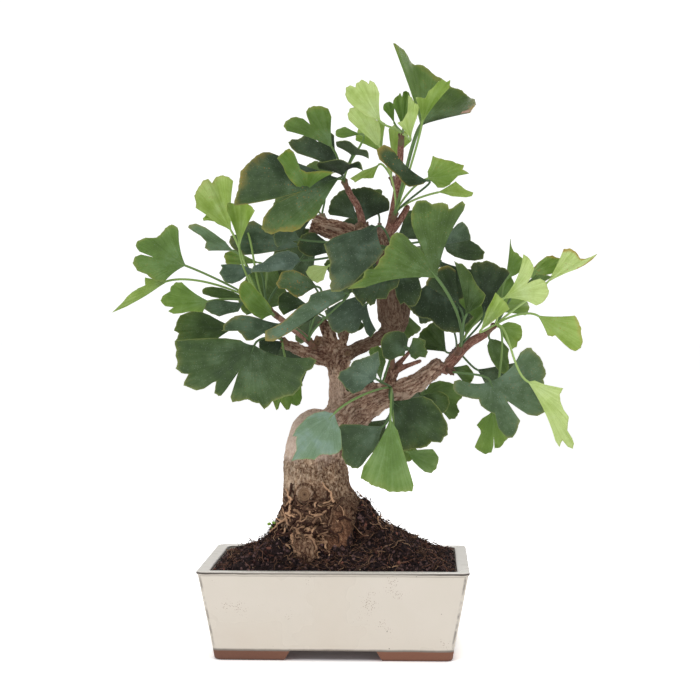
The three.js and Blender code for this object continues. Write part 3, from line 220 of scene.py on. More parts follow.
# plugs a number, a colour or another node's socket into an input
def plug(value, socket):
    value = getattr(value, "socket", value)
    if isinstance(value, bpy.types.NodeSocket):
        socket.id_data.links.new(value, socket)
    else:
        socket.default_value = (*value, 1) if socket.type == "RGBA" else value


def put(tree, kind, inputs=None, **settings):
    made = tree.nodes.new(kind)
    for key, value in settings.items():
        setattr(made, key, value)
    for key, value in (inputs or {}).items():
        plug(value, made.inputs[key])
    return made


# a value in a shader tree: sums on it become Math nodes
class Value:
    def __init__(self, socket):
        self.socket = socket

    def maths(self, operation, *others, clamp=False):
        made = put(self.socket.id_data, "ShaderNodeMath", dict(enumerate((self, *others))),
                   operation=operation, use_clamp=clamp)
        return Value(made.outputs[0])

    def __add__(self, other):
        return self.maths("ADD", other)

    def __sub__(self, other):
        return self.maths("SUBTRACT", other)

    def __rsub__(self, other):
        return self.maths("MULTIPLY_ADD", -1.0, other)

    def __mul__(self, other):
        return self.maths("MULTIPLY", other)

    def __pow__(self, other):
        return self.maths("POWER", other)

    def __abs__(self):
        return self.maths("ABSOLUTE")


# 0 at low, 1 at high
def between(value, low, high):
    made = put(value.socket.id_data, "ShaderNodeMapRange", {
        "From Min": low, "From Max": high, "Value": value}, interpolation_type="SMOOTHSTEP", clamp=True)
    return Value(made.outputs[0])


# a screen colour, 0 to 255, as the light it stands for
def linear(red, green, blue):
    return tuple(((c / 255 + 0.055) / 1.055) ** 2.4 if c > 10 else c / 3294 for c in (red, green, blue))


# from colour a to b, which are screen colours or another node's
def blend(share, a, b):
    a, b = (linear(*colour) if isinstance(colour, tuple) else colour for colour in (a, b))
    made = put(share.socket.id_data, "ShaderNodeMix", {0: share, 6: a, 7: b}, data_type="RGBA")
    return made.outputs[2]


# stops: place from 0 to 1, then a screen colour
def ramp(value, *stops):
    made = put(value.socket.id_data, "ShaderNodeValToRGB", {0: value})
    points = made.color_ramp.elements
    while len(points) < len(stops):
        points.new(0.5)
    for point, (at, *colour) in zip(points, stops):
        point.position = at
        point.color = (*linear(*colour), 1)
    return made.outputs[0]


def painted(tree, *names):
    return [Value(put(tree, "ShaderNodeAttribute", attribute_name=name).outputs["Fac"]) for name in names]


def objectPlace(tree):
    return put(tree, "ShaderNodeTexCoord").outputs["Object"]


def separate(tree, vector):
    return [Value(socket) for socket in put(tree, "ShaderNodeSeparateXYZ", {0: vector}).outputs]


# even cells: the distance from the middle of the nearest
def cells(tree, where, scale):
    return Value(put(tree, "ShaderNodeTexVoronoi", {"Scale": scale, "Vector": where}).outputs["Distance"])


def clouds(tree, where, scale, detail, roughness):
    return Value(put(tree, "ShaderNodeTexNoise", {
        "Vector": where, "Scale": scale, "Detail": detail, "Roughness": roughness}).outputs["Fac"])


# uneven patches on Object coordinates: a mask and a finer grain
def makeMottleGroup():
    group = bpy.data.node_groups.new("mottle", "ShaderNodeTree")
    for name in ("Patch scale", "Grain scale", "Patches", "Grain"):
        way = "INPUT" if name.endswith("scale") else "OUTPUT"
        group.interface.new_socket(name, in_out=way, socket_type="NodeSocketFloat")
    inside, outside = group.nodes.new("NodeGroupInput"), group.nodes.new("NodeGroupOutput")
    where = objectPlace(group)
    plug(clouds(group, where, inside.outputs["Patch scale"], 3.0, 0.55), outside.inputs["Patches"])
    plug(clouds(group, where, inside.outputs["Grain scale"], 6.0, 0.7), outside.inputs["Grain"])
    return group


mottleGroup = makeMottleGroup()


def mottle(tree, patchScale, grainScale=10.0):
    made = put(tree, "ShaderNodeGroup", node_tree=mottleGroup)
    for socket, scale in zip(made.inputs, (patchScale, grainScale)):
        socket.default_value = scale
    return [Value(socket) for socket in made.outputs]


def newMaterial(name):
    material = bpy.data.materials.new(name)
    material.use_nodes = True
    return material, material.node_tree


# bump: strength, and height in mm
def finish(material, colour, roughness, relief=None, bump=(0.5, 0.6), specular=0.5):
    shader = material.node_tree.nodes["Principled BSDF"]
    plug(colour, shader.inputs["Base Color"])
    plug(roughness, shader.inputs["Roughness"])
    shader.inputs["Specular IOR Level"].default_value = specular
    if relief is not None:
        made = put(material.node_tree, "ShaderNodeBump", {"Strength": bump[0], "Distance": bump[1] * mm,
                                                          "Height": relief})
        plug(made.outputs[0], shader.inputs["Normal"])
    return material


view = {
    "distance": 1400,  # mm from the pot's middle
    "turn": 2.84,  # degrees round to the right
    "height": 273,
    "yaw": 2.43,
    "pitch": -1.76,
    "lens": 92.78,
    "sensor": 36,
}
lights = {
    "sky": 0.56,
    "skySeen": 1.1,  # how bright the sky looks behind the tree
    "aim": (0, 0, 230),
    "key": {"at": (-900, -1150, 1150), "size": 1000, "power": 7.6},
    "fill": {"at": (1100, -1000, 500), "size": 1200, "power": 3.2},
    "back": {"at": (250, 1100, 1000), "size": 900, "power": 4.5},
}
floorLook = {
    "radius": 9,  # metres
    "shades": ((0.9, 0.9, 0.9), (0.86, 0.86, 0.86)),
    "seen": (1.85, 1.85, 1.85),  # brighter to the eye than it lights the tree
    # painted shadow: the floor looks darker over the pot's footprint
    "shadowUnderPot": (0.7, 0.66, 0.72),
    "halfPot": (0.089, 0.0625),  # metres from the middle to the pot's foot
    # light the floor gives off to all but camera rays: painted bounce light on the tree
    "glow": 0.25,
}


def makeCamera():
    turn = math.radians(view["turn"])
    data = bpy.data.cameras.new("camera")
    data.lens, data.sensor_width, data.clip_start = view["lens"], view["sensor"], 0.05
    camera = addObject("camera", data)
    camera.location = toRow([view["distance"] * math.sin(turn), -view["distance"] * math.cos(turn),
                             view["height"]])
    camera.rotation_euler = Euler((math.radians(90 + view["pitch"]), 0, math.radians(view["yaw"])))
    bpy.context.scene.camera = camera


def makeLight(name, at, size, power):
    data = bpy.data.lights.new(name, "AREA")
    data.size, data.energy = size * mm, power
    lamp = addObject(name, data)
    lamp.location = toRow(at)
    aim = Vector(toRow(lights["aim"])) - lamp.location
    lamp.rotation_euler = aim.to_track_quat("-Z", "Y").to_euler()


def makeSky():
    world = bpy.data.worlds.new("studio")
    world.use_nodes = True
    sky = world.node_tree.nodes["Background"]
    plug((1, 1, 1), sky.inputs["Color"])
    seen = Value(put(world.node_tree, "ShaderNodeLightPath").outputs["Is Camera Ray"])
    plug(seen * (lights["skySeen"] - lights["sky"]) + lights["sky"], sky.inputs["Strength"])
    bpy.context.scene.world = world
    bpy.context.scene.view_settings.view_transform = "Standard"


def makeFloor():
    look = floorLook
    bpy.ops.mesh.primitive_circle_add(vertices=96, radius=look["radius"], fill_type="NGON")
    floor = bpy.context.object
    floor.name = "floor"
    material, tree = newMaterial("pale floor")
    _, grain = mottle(tree, 3.0, 900.0)
    shades, seenShades = look["shades"], (look["seen"], look["shadowUnderPot"])
    seen = Value(put(tree, "ShaderNodeLightPath").outputs["Is Camera Ray"])
    # painted shadow on the floor under the pot
    beneath = [between(abs(part - float(middle)), half + 0.004, half - 0.008)
               for part, middle, half in zip(separate(tree, objectPlace(tree)), potCentre, look["halfPot"])]
    shade, bright = (put(tree, "ShaderNodeMix", {0: share, 6: a, 7: b}, data_type="RGBA").outputs[2]
                     for share, (a, b) in ((grain * 0.03, shades), (beneath[0] * beneath[1], seenShades)))
    finish(material, blend(seen, shade, bright), 0.9, specular=0.1)
    shader = tree.nodes["Principled BSDF"]
    # painted bounce light: the floor glows for all but camera rays
    plug((1, 1, 1), shader.inputs["Emission Color"])
    plug(seen * -look["glow"] + look["glow"], shader.inputs["Emission Strength"])
    floor.data.materials.append(material)


makeCamera()
makeSky()
for lightName in ("key", "fill", "back"):
    makeLight(lightName, **lights[lightName])
makeFloor()
print("camera and studio ready")


leafFinish = {
    "veinGap": 0.9,  # mm between veins at the edge
    # tone, then the colour at that tone
    "greens": ((0.0, 38, 56, 30), (0.12, 54, 75, 37), (0.3, 78, 104, 44), (0.5, 104, 137, 56),
               (0.7, 138, 168, 72), (0.86, 166, 194, 96), (1.0, 200, 222, 138)),
    "stalks": ((0.0, 72, 98, 64), (0.3, 96, 124, 74), (0.7, 140, 170, 92), (1.0, 170, 198, 118)),
    "edge": (158, 176, 96),
    "gold": (180, 150, 66),
    "speck": (176, 124, 56),
    # grey-blue of the waxy bloom and of the painted sheen
    "dust": (166, 182, 166),
    "bloom": (136, 162, 150),
    "stain": (188, 144, 120),
}


def makeLeafMaterial():
    look = leafFinish
    material, tree = newMaterial("ginkgo leaf")
    around, out, _ = separate(tree, put(tree, "ShaderNodeUVMap", uv_map="blade").outputs[0])
    # around: mm along the outer edge / 100; out: share of the length
    tone, gold, bloom, stem, own = painted(tree, "tone", "gold", "bloom", "stem", "own")
    patches, grain = mottle(tree, 62.0, 900.0)
    # broad patches: the leaf's own mottling, partly painted light and shade of its undulations
    uneven = patches - 0.5
    lit = tone + uneven * 0.4
    green = ramp(lit, *look["greens"])

    # waxy grey-blue bloom and painted sheen of reflected light, stronger towards the stalk
    waxAndSheen = between(patches, 0.42, 0.72) * between(out, 1.1, 0.1) * 0.2
    cloudy = between(patches, 0.38, 0.62) * 0.28 + 0.4
    waxAndSheen = waxAndSheen.maths("ADD", bloom * cloudy, clamp=True)
    green = blend(waxAndSheen, green, look["bloom"])

    # streaks and pleats that run out along the rays
    def rays(across, along, detail):
        spread = {"X": around * across, "Y": out * along, "Z": own * 40.0}
        return clouds(tree, put(tree, "ShaderNodeCombineXYZ", spread).outputs[0], 1.0, detail, 0.65)

    # forking veins: twice as many in the outer half
    def veins(count):
        return ((around * count).maths("SINE") * 0.5 + 0.5) ** 3.0

    streaks, pleats = rays(120.0, 1.5, 4.0), rays(24.0, 0.9, 2.0)
    full = 200 * math.pi / look["veinGap"]
    forks = {0: between(out, 0.45, 0.6), 2: veins(full / 2), 3: veins(full)}
    ribs = Value(put(tree, "ShaderNodeMix", forks, data_type="FLOAT").outputs[0])
    # in the colour, the pleats and broad patches are partly painted light and shade of folds and ruffles,
    # over the leaf's own streaks, grain and veins
    light = (streaks - 0.5) * 0.5 + (pleats - 0.5) * 0.5 + (grain - 0.5) * 0.3 + uneven * 0.25 + ribs * 0.04
    light = light * (stem * -0.8 + 1.0)
    green = put(tree, "ShaderNodeHueSaturation", {
        "Color": green, "Value": light + 1.0, "Saturation": light * -0.5 + 1.0}).outputs[0]

    # pale rim, gold along it on older leaves, rust specks, dust and stains
    ragged = out + (streaks - 0.5) * 0.03
    green = blend(between(ragged, 0.965, 1.0) * 0.35, green, look["edge"])
    golden = between(out + uneven * 0.35, 0.89, 1.03).maths("MULTIPLY", gold, clamp=True)
    green = blend(golden * 0.8, green, look["gold"])
    where = objectPlace(tree)
    spot = between(cells(tree, where, 420.0), 0.24, 0.12) * between(patches, 0.46, 0.58)
    green = blend(spot * gold.maths("MULTIPLY", 1.5, clamp=True), green, look["speck"])
    mote = between(cells(tree, where, 650.0), 0.2, 0.1) * between(lit, 0.85, 0.15)
    green = blend(mote * (bloom * 0.5 + 0.3), green, look["dust"])
    green = blend(between(gold, 1.5, 2.0), green, look["stain"])

    # stalks are a little paler and yellower than their leaf
    green = blend(stem, green, ramp(tone, *look["stalks"]))
    height = (ribs * 0.35 + streaks + grain * 0.25 + pleats * 1.2) * (1.0 - stem)
    return finish(material, green, grain * 0.2 + 0.38 + waxAndSheen * 0.15, height, (0.45, 0.6), 0.32)


def makeTwigMaterial():
    material, tree = newMaterial("young twig")
    patches, grain = mottle(tree, 160.0, 1100.0)
    colour = ramp(patches, (0.3, 92, 66, 54), (0.5, 128, 92, 72), (0.7, 112, 106, 72))
    colour = blend(grain * 0.35, colour, (74, 52, 44))
    return finish(material, colour, grain * 0.3 + 0.5, grain)


# where the outlines of the leaves are drawn from: one step is one part in "steps" of the distance
eye = {"at": np.array([69.4, -1398.3, 273]), "turned": 2.43, "tipped": 1.76, "steps": 1804}


# fan: degrees to the left and right; side: length of those edges as shares of the middle;
# tone: how light the green is, partly the leaf's own colour, partly painted light on leaves lit through
# from behind; gold: how yellow at the edge; then how much waxy bloom and painted sheen of reflected light;
# turned: how much lighter the right side is, painted light and shade; stain: [place across from -1 to 1,
# share of the length, size]
def leaf(base, end, fan, side, tone=0.2, gold=0.07, bloom=0.0, turned=0.0, stain=None, roll=0, cup=0.12,
         bend=14, stalk=1.0, flare=0.22, rim=None):
    return {"base": np.array(base, float), "end": np.array(end, float), "fan": fan, "side": side,
            "tone": tone, "gold": gold, "bloom": bloom, "turned": turned, "stain": stain, "roll": roll,
            "cup": cup, "bend": bend, "stalk": stalk, "flare": flare, "rim": rim}


# rim: the outline as the eye sees it, steps to the right and up from the base
def lobed(base, end, rim, **more):
    return leaf(base, end, (1, 1), (1, 1), rim=np.array(rim, float).reshape(-1, 2), **more)


sprays = {
    "leaves_left_tip": {"slot": "leaf_mid", "foot": [-44, -13, 255], "tip": [-51, -16, 261], "leaves": [
        lobed([-114, -30, 295], [-149, -44, 312], [
            -21, -16, -31, -15, -39, -9, -49, -5, -53, 3, -50, 9, -44, 11, -32, 8, -46, 14, -50, 20,
            -48, 25, -40, 28, -29, 28, -24, 33, -20, 38, -14, 41, -8, 38, -7, 34, -8, 22], tone=0.48,
            gold=0.15, bloom=0.1),
        lobed([-129, -30, 283], [-165, -59, 260], [
            -21, 4, -21, -4, -28, -7, -40, -16, -53, -31, -40, -25, -28, -17, -16, -8, -6, -3], tone=0.74,
            flare=0.05, roll=50),
        lobed([-94, -48, 268], [-126, -60, 271], [
            -6, -11, -17, -10, -27, -12, -36, -13, -41, -10, -35, -6, -44, -5, -48, 1, -46, 5, -39, 10,
            -38, 15, -33, 19, -27, 19, -21, 14, -13, 8], tone=0.52),
        lobed([-68, -41, 267], [-94, -55, 267], [
            -6, -9, -16, -11, -25, -14, -33, -11, -40, -6, -38, 0, -31, 3, -19, 2], tone=0.16, bloom=0.3,
            bend=24),
        lobed([-46, -50, 258], [-68, -90, 274], [
            -10, -5, -18, -1, -26, 7, -32, 16, -35, 24, -33, 31, -27, 34, -21, 31, -14, 23, -6, 14, -1, 7],
            tone=0.48, gold=0.3, roll=15),
        lobed([-81, -12, 322], [-97, -24, 362], [
            -14, 7, -25, 16, -38, 20, -35, 27, -37, 35, -34, 42, -28, 50, -23, 52, -19, 47, -15, 54, -8, 56,
            -2, 54, 2, 50, 1, 46], tone=0.86, gold=0.25),
        lobed([-73, -29, 311], [-72, -45, 343], [
            -13, 33, -12, 42, -7, 42, -3, 41, 2, 43, 8, 41, 13, 37, 15, 33, 11, 28, 7, 22], tone=0.76,
            cup=0.5),
        lobed([-80, -5, 307], [-119, 15, 324], [
            -18, 1, -25, 0, -29, 3, -27, 9, -33, 15, -43, 18, -50, 21, -44, 25, -37, 26, -28, 23, -19, 17,
            -8, 9], tone=0.36, gold=0.35, bloom=0.5, roll=40),
        lobed([-28, 12, 311], [-77, -2, 316], [
            -19, -4, -44, -8, -59, -9, -67, -5, -73, 3, -72, 10, -65, 12, -57, 23, -48, 25, -40, 20,
            -32, 10, -19, 4], tone=0.14, gold=0.25, bloom=0.3),
        lobed([-61, -14, 292], [-86, -30, 290], [
            -17, -11, -25, -14, -31, -13, -35, -7, -37, -3, -34, 2, -36, 5, -27, 6, -15, 5], tone=0.16,
            bloom=0.7),
        lobed([-62, 22, 298], [-91, 30, 304], [
            -20, -2, -30, -3, -35, 0, -36, 6, -34, 10, -29, 12, -20, 10], tone=0.55, gold=0.3),
        lobed([-83, 5, 334], [-97, 2, 331], [
            -17, -5, -23, -4, -27, -6, -28, -2, -25, 1, -19, 4], tone=0.75),
        lobed([-66, -22, 269], [-99, -30, 277], [
            -20, 0, -38, 3, -46, 6, -47, 10, -44, 12, -37, 13, -28, 12, -16, 8], tone=0.24),
    ]},
    "leaves_left_low": {"slot": "leaf_dark", "foot": [-35, -16, 234], "tip": [-40, -23, 238], "leaves": [
        lobed([-60, -46, 235], [-64, -70, 185], [
            -14, 5, -29, 7, -44, 7, -59, 6, -69, 5, -79, 4, -78, -5, -79, -11, -77, -17, -79, -23, -73, -28,
            -66, -29, -70, -37, -71, -41, -64, -43, -58, -45, -50, -43, -42, -37, -38, -36, -40, -48,
            -36, -51, -30, -53, -26, -49, -16, -26, -24, -52, -22, -57, -16, -56, -7, -54, -1, -57, 5, -58,
            10, -64, 14, -61, 18, -57, 31, -51, 39, -50, 48, -40, 47, -35, 50, -30, 53, -26, 58, -24,
            62, -15, 56, -12, 46, -11, 31, -10, 21, -9, 10, -5], gold=0.12, bloom=0.1, cup=0.04),
        lobed([-76, -31, 248], [-121, -39, 251], [
            -20, -13, -59, -13, -56, -6, -61, -3, -59, 5, -56, 12, -50, 14, -42, 17, -35, 16, -25, 12,
            -17, 8, -9, 4], tone=0.22),
        lobed([-37, -24, 216], [-36, -28, 185], [
            14, -16, 15, -29, 13, -35, 9, -37, 4, -34, 2, -40, -1, -40, -7, -33, -8, -40, -11, -41,
            -15, -31, -14, -17], tone=0.5),
        leaf([-40, -20, 237], [-58, -22, 231], [50, 29], [0.6, 0.9], tone=0.06, bend=24),
    ]},
    "leaves_left_middle": {"slot": "leaf_dark", "foot": [-15, -13, 230], "tip": [-20, -26, 238], "leaves": [
        lobed([-40, -48, 251], [-80, -72, 247], [
            -19, -7, -23, -13, -28, -16, -34, -16, -39, -11, -43, -7, -49, -8, -53, -13, -57, -12, -58, -6,
            -57, -1, -52, 4, -46, 8, -39, 9, -31, 8, -23, 6], tone=0.16, gold=0.3, bloom=0.3, roll=25,
            cup=0.3),
        lobed([9, -53, 274], [-42, -97, 245], [
            -3, -6, -16, -13, -34, -26, -70, -49, -80, -47, -80, -37, -63, -29, -46, -13, -38, -9, -35, -2,
            -29, 1, -16, 4, -6, 4], tone=0.26, gold=0.7, bloom=0.6, flare=0, roll=20, bend=30),
        lobed([-13, -38, 279], [-44, -54, 280], [
            -15, -9, -21, -11, -27, -7, -32, -2, -38, -3, -41, 3, -38, 8, -36, 15, -25, 17, -17, 14, -7, 8],
            tone=0.24, gold=0.6, bloom=0.2, roll=15),
        leaf([-21, -24, 265], [-43, -32, 270], [34, 26], [0.88, 0.64], tone=0.1),
    ]},
    "leaves_knot": {"slot": "leaf_dark", "foot": [7, -8, 241], "tip": [9, -4, 250], "leaves": [
        leaf([9, 7, 263], [11, 7, 243], [38, 39], [0.92, 0.89], tone=0.15),
    ]},
    "leaves_upper_left": {"slot": "leaf_dark", "foot": [9, -2, 352], "tip": [6, -6, 360], "leaves": [
        lobed([3, -32, 361], [-56, -88, 329], [
            -17, -25, -20, -34, -25, -40, -33, -44, -37, -52, -47, -54, -59, -53, -67, -56, -73, -54,
            -77, -50, -75, -39, -70, -32, -64, -26, -54, -21, -40, -14, -56, -20, -67, -24, -77, -27,
            -87, -30, -105, -27, -101, -12, -99, -2, -98, 7, -91, 15, -82, 23, -76, 26, -70, 26, -39, 12,
            -19, 7], tone=0.22, gold=0.5, bloom=0.15, turned=-0.16, flare=0.1, cup=0.06),
        lobed([-20, -46, 351], [-35, -76, 372], [
            28, 18, 18, 19, -1, 18, -8, 21, -11, 26, -13, 33, -14, 39, -18, 42, -22, 40, -30, 32, -24, 24,
            -22, 18, -17, 10, -11, 4], tone=0.5, gold=0.4, cup=0.25),
        lobed([-2, -31, 384], [-22, -43, 413], [
            -24, 13, -32, 16, -42, 17, -46, 17, -49, 22, -47, 27, -42, 30, -36, 31, -29, 29, -22, 23,
            -25, 31, -26, 36, -23, 40, -18, 42, -10, 42, -4, 39, -1, 31, -3, 24, -4, 18], tone=0.42,
            gold=0.2),
        lobed([1, -20, 374], [-33, -7, 399], [
            -15, 0, -25, 4, -34, 7, -40, 9, -46, 14, -49, 20, -45, 23, -39, 23, -34, 26, -30, 27, -25, 25,
            -19, 20, -10, 32, -3, 27, -2, 14], tone=0.05),
        leaf([5, -17, 364], [6, -77, 371], [34, 14], [0.5, 1.3], tone=0.05),
        leaf([12, -7, 380], [15, -39, 386], [50, 29], [0.5, 0.9], tone=0.22),
        leaf([18, 10, 398], [-2, 18, 400], [19, 20], [0.64, 0.69], tone=0.5, roll=20),
    ]},
    "leaves_top": {"slot": "leaf_light", "foot": [49, 0, 385], "tip": [50, -1, 396], "leaves": [
        lobed([51, 7, 401], [53, 15, 432], [
            -6, 18, -10, 24, -10, 29, -6, 33, -3, 36, -1, 32, 0, 37, 3, 39, 6, 37, 7, 33, 8, 24], tone=0.5),
        lobed([57, -20, 392], [60, -27, 417], [
            -13, 15, -8, 17, -6, 21, -3, 26, -2, 43, 1, 41, 4, 35, 9, 34, 8, 28, 6, 20, 2, 13], tone=0.95,
            cup=0.5),
        lobed([34, -17, 405], [15, -21, 434], [
            -15, 6, -28, 16, -33, 21, -35, 27, -34, 34, -30, 36, -25, 34, -24, 38, -19, 42, -14, 40,
            -12, 38, -11, 42, -6, 39, -3, 34, -1, 28, -3, 23, -4, 18, -2, 10], tone=0.94),
        leaf([44, 15, 407], [38, 16, 423], [20, 22], [0.79, 0.75], tone=0.5, bend=-20),
    ]},
    "leaves_leader": {"slot": "leaf_mid", "foot": [42, -1, 327], "tip": [45, -8, 335], "leaves": [
        lobed([65, -10, 403], [83, 34, 443], [
            -28, 82, -18, 75, -9, 63, -1, 59, 9, 54, 19, 48, 25, 43, 31, 37, 40, 34, 47, 30, 54, 25, 55, 21,
            51, 16, 49, 12, 39, 10, 27, 9, 17, 8, 9, 5], tone=0.34, gold=0.3, turned=-0.18,
            stain=(0.87, 0.9, 0.17), cup=0.3, stalk=1.7),
        lobed([66, -26, 404], [80, -34, 432], [
            -1, 10, -4, 21, -7, 24, 3, 23, 6, 30, 12, 35, 16, 40, 20, 42, 25, 40, 28, 42, 27, 34, 19, 28,
            14, 23, 9, 15, 5, 7], tone=0.7, cup=0.5),
        lobed([33, -5, 387], [19, 3, 419], [
            -4, 2, -10, 8, -18, 13, -28, 18, -32, 26, -32, 33, -30, 38, -24, 40, -18, 39, -12, 34, -6, 29,
            -1, 25, 1, 18, 1, 8], tone=0.95),
        lobed([70, -31, 359], [32, -59, 378], [
            -4, -3, -12, -5, -18, -6, -24, -2, -30, 5, -37, 11, -43, 17, -48, 21, -50, 26, -51, 30, -48, 33,
            -43, 36, -38, 34, -33, 29, -29, 23, -26, 15, -23, 7, -18, 5, -8, 3], tone=0.1, gold=0.6,
            roll=30, cup=0.3, bend=34),
        lobed([70, -24, 361], [99, -16, 372], [
            0, 7, 3, 14, 2, 24, 9, 21, 17, 19, 24, 18, 29, 15, 36, 13, 35, 9, 42, 5, 31, 3, 27, -1, 22, -6,
            16, -9, 10, -9], tone=0.62, gold=0.2, roll=-20),
        lobed([78, 2, 352], [107, 10, 352], [
            10, 5, 18, 11, 23, 7, 27, 3, 35, 0, 34, -4, 28, -5, 14, -4], tone=0.8, roll=20),
    ]},
    "leaves_crown_rear": {"slot": "leaf_dark", "foot": [20, 5, 318], "tip": [22, 12, 328], "leaves": [
        leaf([21, 22, 331], [24, 34, 357], [33, 63], [0.98, 0.69], tone=0.03),
        leaf([15, 31, 332], [-5, 43, 350], [31, 32], [0.8, 0.89], tone=0.1),
    ]},
    "leaves_crown_front": {"slot": "leaf_dark", "foot": [42, -5, 298], "tip": [43, -22, 306], "leaves": [
        lobed([-26, -29, 299], [-54, -41, 293], [
            -9, -10, -21, -10, -33, -12, -43, -12, -51, -12, -48, -6, -38, -2, -30, 4, -23, 8, -13, 10,
            -4, 6], tone=0.1, bloom=0.8),
        lobed([32, -46, 324], [-1, -86, 284], [
            7, -26, -1, -36, -13, -46, -25, -59, -37, -66, -46, -66, -47, -59, -45, -54, -47, -50, -47, -42,
            -46, -36, -49, -30, -51, -24, -53, -18, -45, -12, -35, -8, -25, -5, -15, -3, -5, 2], tone=0.1,
            gold=0.2, bloom=0.25),
        lobed([38, -53, 293], [27, -57, 262], [
            15, -12, 13, -19, 5, -24, 2, -31, -8, -31, -9, -36, -14, -38, -18, -34, -22, -38, -28, -31,
            -33, -24, -31, -16, -18, -6], tone=0.05),
        lobed([49, -41, 291], [51, -41, 261], [
            19, -7, 22, -19, 20, -29, 16, -36, 9, -36, 5, -32, 1, -34, -3, -27, -5, -15], tone=0.06),
        lobed([82, -7, 312], [112, 13, 302], [
            27, 4, 35, -1, 41, -8, 39, -15, 32, -17, 22, -16, 12, -13, 4, -8], tone=0.12),
        lobed([80, 7, 312], [99, 19, 330], [
            5, 18, 13, 16, 16, 21, 22, 23, 27, 18, 30, 10, 31, 2, 15, -1], tone=0.14, bloom=0.3),
        lobed([24, -26, 266], [27, -30, 240], [
            9, -26, 4, -34, -1, -29, -5, -16, -9, -27, -15, -30, -22, -27, -29, -30, -36, -26, -39, -17,
            -42, -7, -27, 2, -12, 7], tone=0.06, bloom=0.25),
        lobed([-6, -12, 295], [-19, -8, 282], [
            -5, -14, -11, -17, -17, -14, -23, -6, -20, -1, -14, 1, -5, 0, -1, -2], tone=1),
        leaf([-27, -22, 315], [-46, -30, 319], [30, 47], [0.92, 0.51], tone=0.15, bloom=0.3),
        leaf([3, -5, 307], [-30, -1, 313], [23, 25], [0.67, 0.73], tone=0.02),
        leaf([80, 4, 299], [98, -2, 270], [44, 40], [0.84, 0.8], tone=0.05),
    ]},
    "leaves_right_upper": {"slot": "leaf_dark", "foot": [92, -11, 225], "tip": [95, -20, 233], "leaves": [
        lobed([77, -74, 285], [44, -90, 326], [
            -17, 0, -37, -2, -57, -5, -72, -9, -90, -11, -85, -7, -79, -3, -74, 0, -73, 6, -70, 9, -64, 9,
            -60, 13, -57, 19, -52, 24, -52, 30, -48, 34, -47, 40, -44, 44, -40, 46, -35, 45, -29, 40,
            -24, 34, -17, 30, -15, 23, -17, 33, -22, 42, -25, 52, -26, 63, -24, 70, -21, 76, -17, 78,
            -11, 78, -5, 75, 6, 76, 11, 73, 12, 69, 16, 70, 20, 74, 25, 77, 28, 74, 26, 68, 22, 61, 18, 53,
            14, 43, 10, 31, 4, 16], tone=0.32, gold=0.15, turned=-0.05, cup=0.05, stalk=1.3),
        lobed([82, -12, 286], [88, -22, 244], [
            31, -40, 23, -48, 17, -55, 9, -55, 0, -53, -6, -49, -13, -42, -23, -40, -29, -36, -35, -29,
            -31, -18, -15, -6], tone=0),
        leaf([95, -38, 262], [77, -54, 292], [23, 21], [0.92, 0.84], tone=0.08, gold=0.5),
        lobed([99, -53, 258], [102, -45, 297], [
            0, 12, -5, 28, -9, 41, -12, 53, -4, 51, 4, 43, 10, 31, 19, 20, 14, 9, 6, 4], tone=0.25,
            cup=0.5),
        leaf([113, -26, 258], [114, -14, 298], [17, 32], [0.94, 0.88], tone=0.03),
    ]},
    "leaves_right_tip": {"slot": "leaf_light", "foot": [114, -12, 242.5], "tip": [121, -13, 249],
                         "leaves": [
        lobed([127, -36, 270], [160, -48, 289], [
            20, 44, 24, 42, 28, 37, 31, 30, 28, 22, 24, 15, 30, 18, 37, 20, 42, 18, 44, 14, 46, 8, 44, 2,
            39, -4, 33, -7, 28, -4, 21, -2, 12, -1], tone=0.95, flare=0.45),
        lobed([110, -38, 246], [123, -50, 276], [
            3, 10, 7, 22, 12, 31, 13, 38, 20, 33, 25, 28, 29, 22, 19, 17, 12, 12, 7, 5], tone=0.85,
            cup=0.5),
        lobed([130, 7, 283], [143, 19, 306], [
            5, 36, 6, 43, 9, 30, 14, 27, 20, 20, 17, 11, 11, 7], tone=0.5, flare=0.4, roll=15),
        lobed([124, 17, 268], [137, 25, 287], [
            -2, 11, 4, 21, 15, 25, 18, 17, 15, 12, 9, 4], tone=0.45),
        lobed([145, 18, 284], [171, 23, 300], [
            8, 10, 15, 18, 23, 24, 29, 25, 38, 22, 36, 15, 33, 8, 20, 5], tone=0.6, gold=1, roll=20),
        lobed([163, 15, 282], [195, 10, 305], [
            15, 28, 17, 34, 23, 35, 29, 32, 33, 24, 38, 24, 44, 26, 50, 29, 45, 23, 38, 18, 30, 14, 21, 10],
            tone=1, gold=1.45, flare=0.35, bend=24),
        lobed([141, 2, 277], [165, 10, 286], [
            12, 8, 17, 15, 23, 15, 34, 13, 24, 7, 11, 2], tone=0.3, roll=20),
        lobed([154, -19, 257], [188, -15, 242], [
            7, -1, 17, -3, 27, -2, 38, 0, 41, -5, 43, -12, 43, -19, 45, -27, 43, -32, 38, -36, 33, -34,
            27, -29, 22, -24, 18, -19, 15, -21, 10, -20, 8, -14, 4, -8], tone=0.8, gold=0.5),
        lobed([125, 2, 248], [143, 6, 240], [
            5, 3, 10, 5, 17, 4, 23, 1, 24, -5, 23, -11, 19, -15, 18, -20, 13, -23, 10, -18, 5, -10],
            tone=0.6),
        lobed([118, 5, 239], [131, 13, 211], [
            6, -1, 14, -4, 20, -11, 19, -17, 20, -24, 19, -30, 16, -35, 12, -34, 7, -29, 2, -22, -1, -14,
            -2, -7], tone=0.3),
        lobed([145, -46, 208], [173, -72, 169], [
            7, 1, 17, -3, 27, -3, 36, -1, 32, -13, 33, -20, 36, -28, 41, -35, 39, -48, 44, -56, 46, -62,
            45, -67, 40, -65, 35, -59, 32, -66, 28, -60, 24, -48, 19, -33, 13, -20, 6, -8], tone=1),
        lobed([121, -7, 184], [122, -7, 150], [
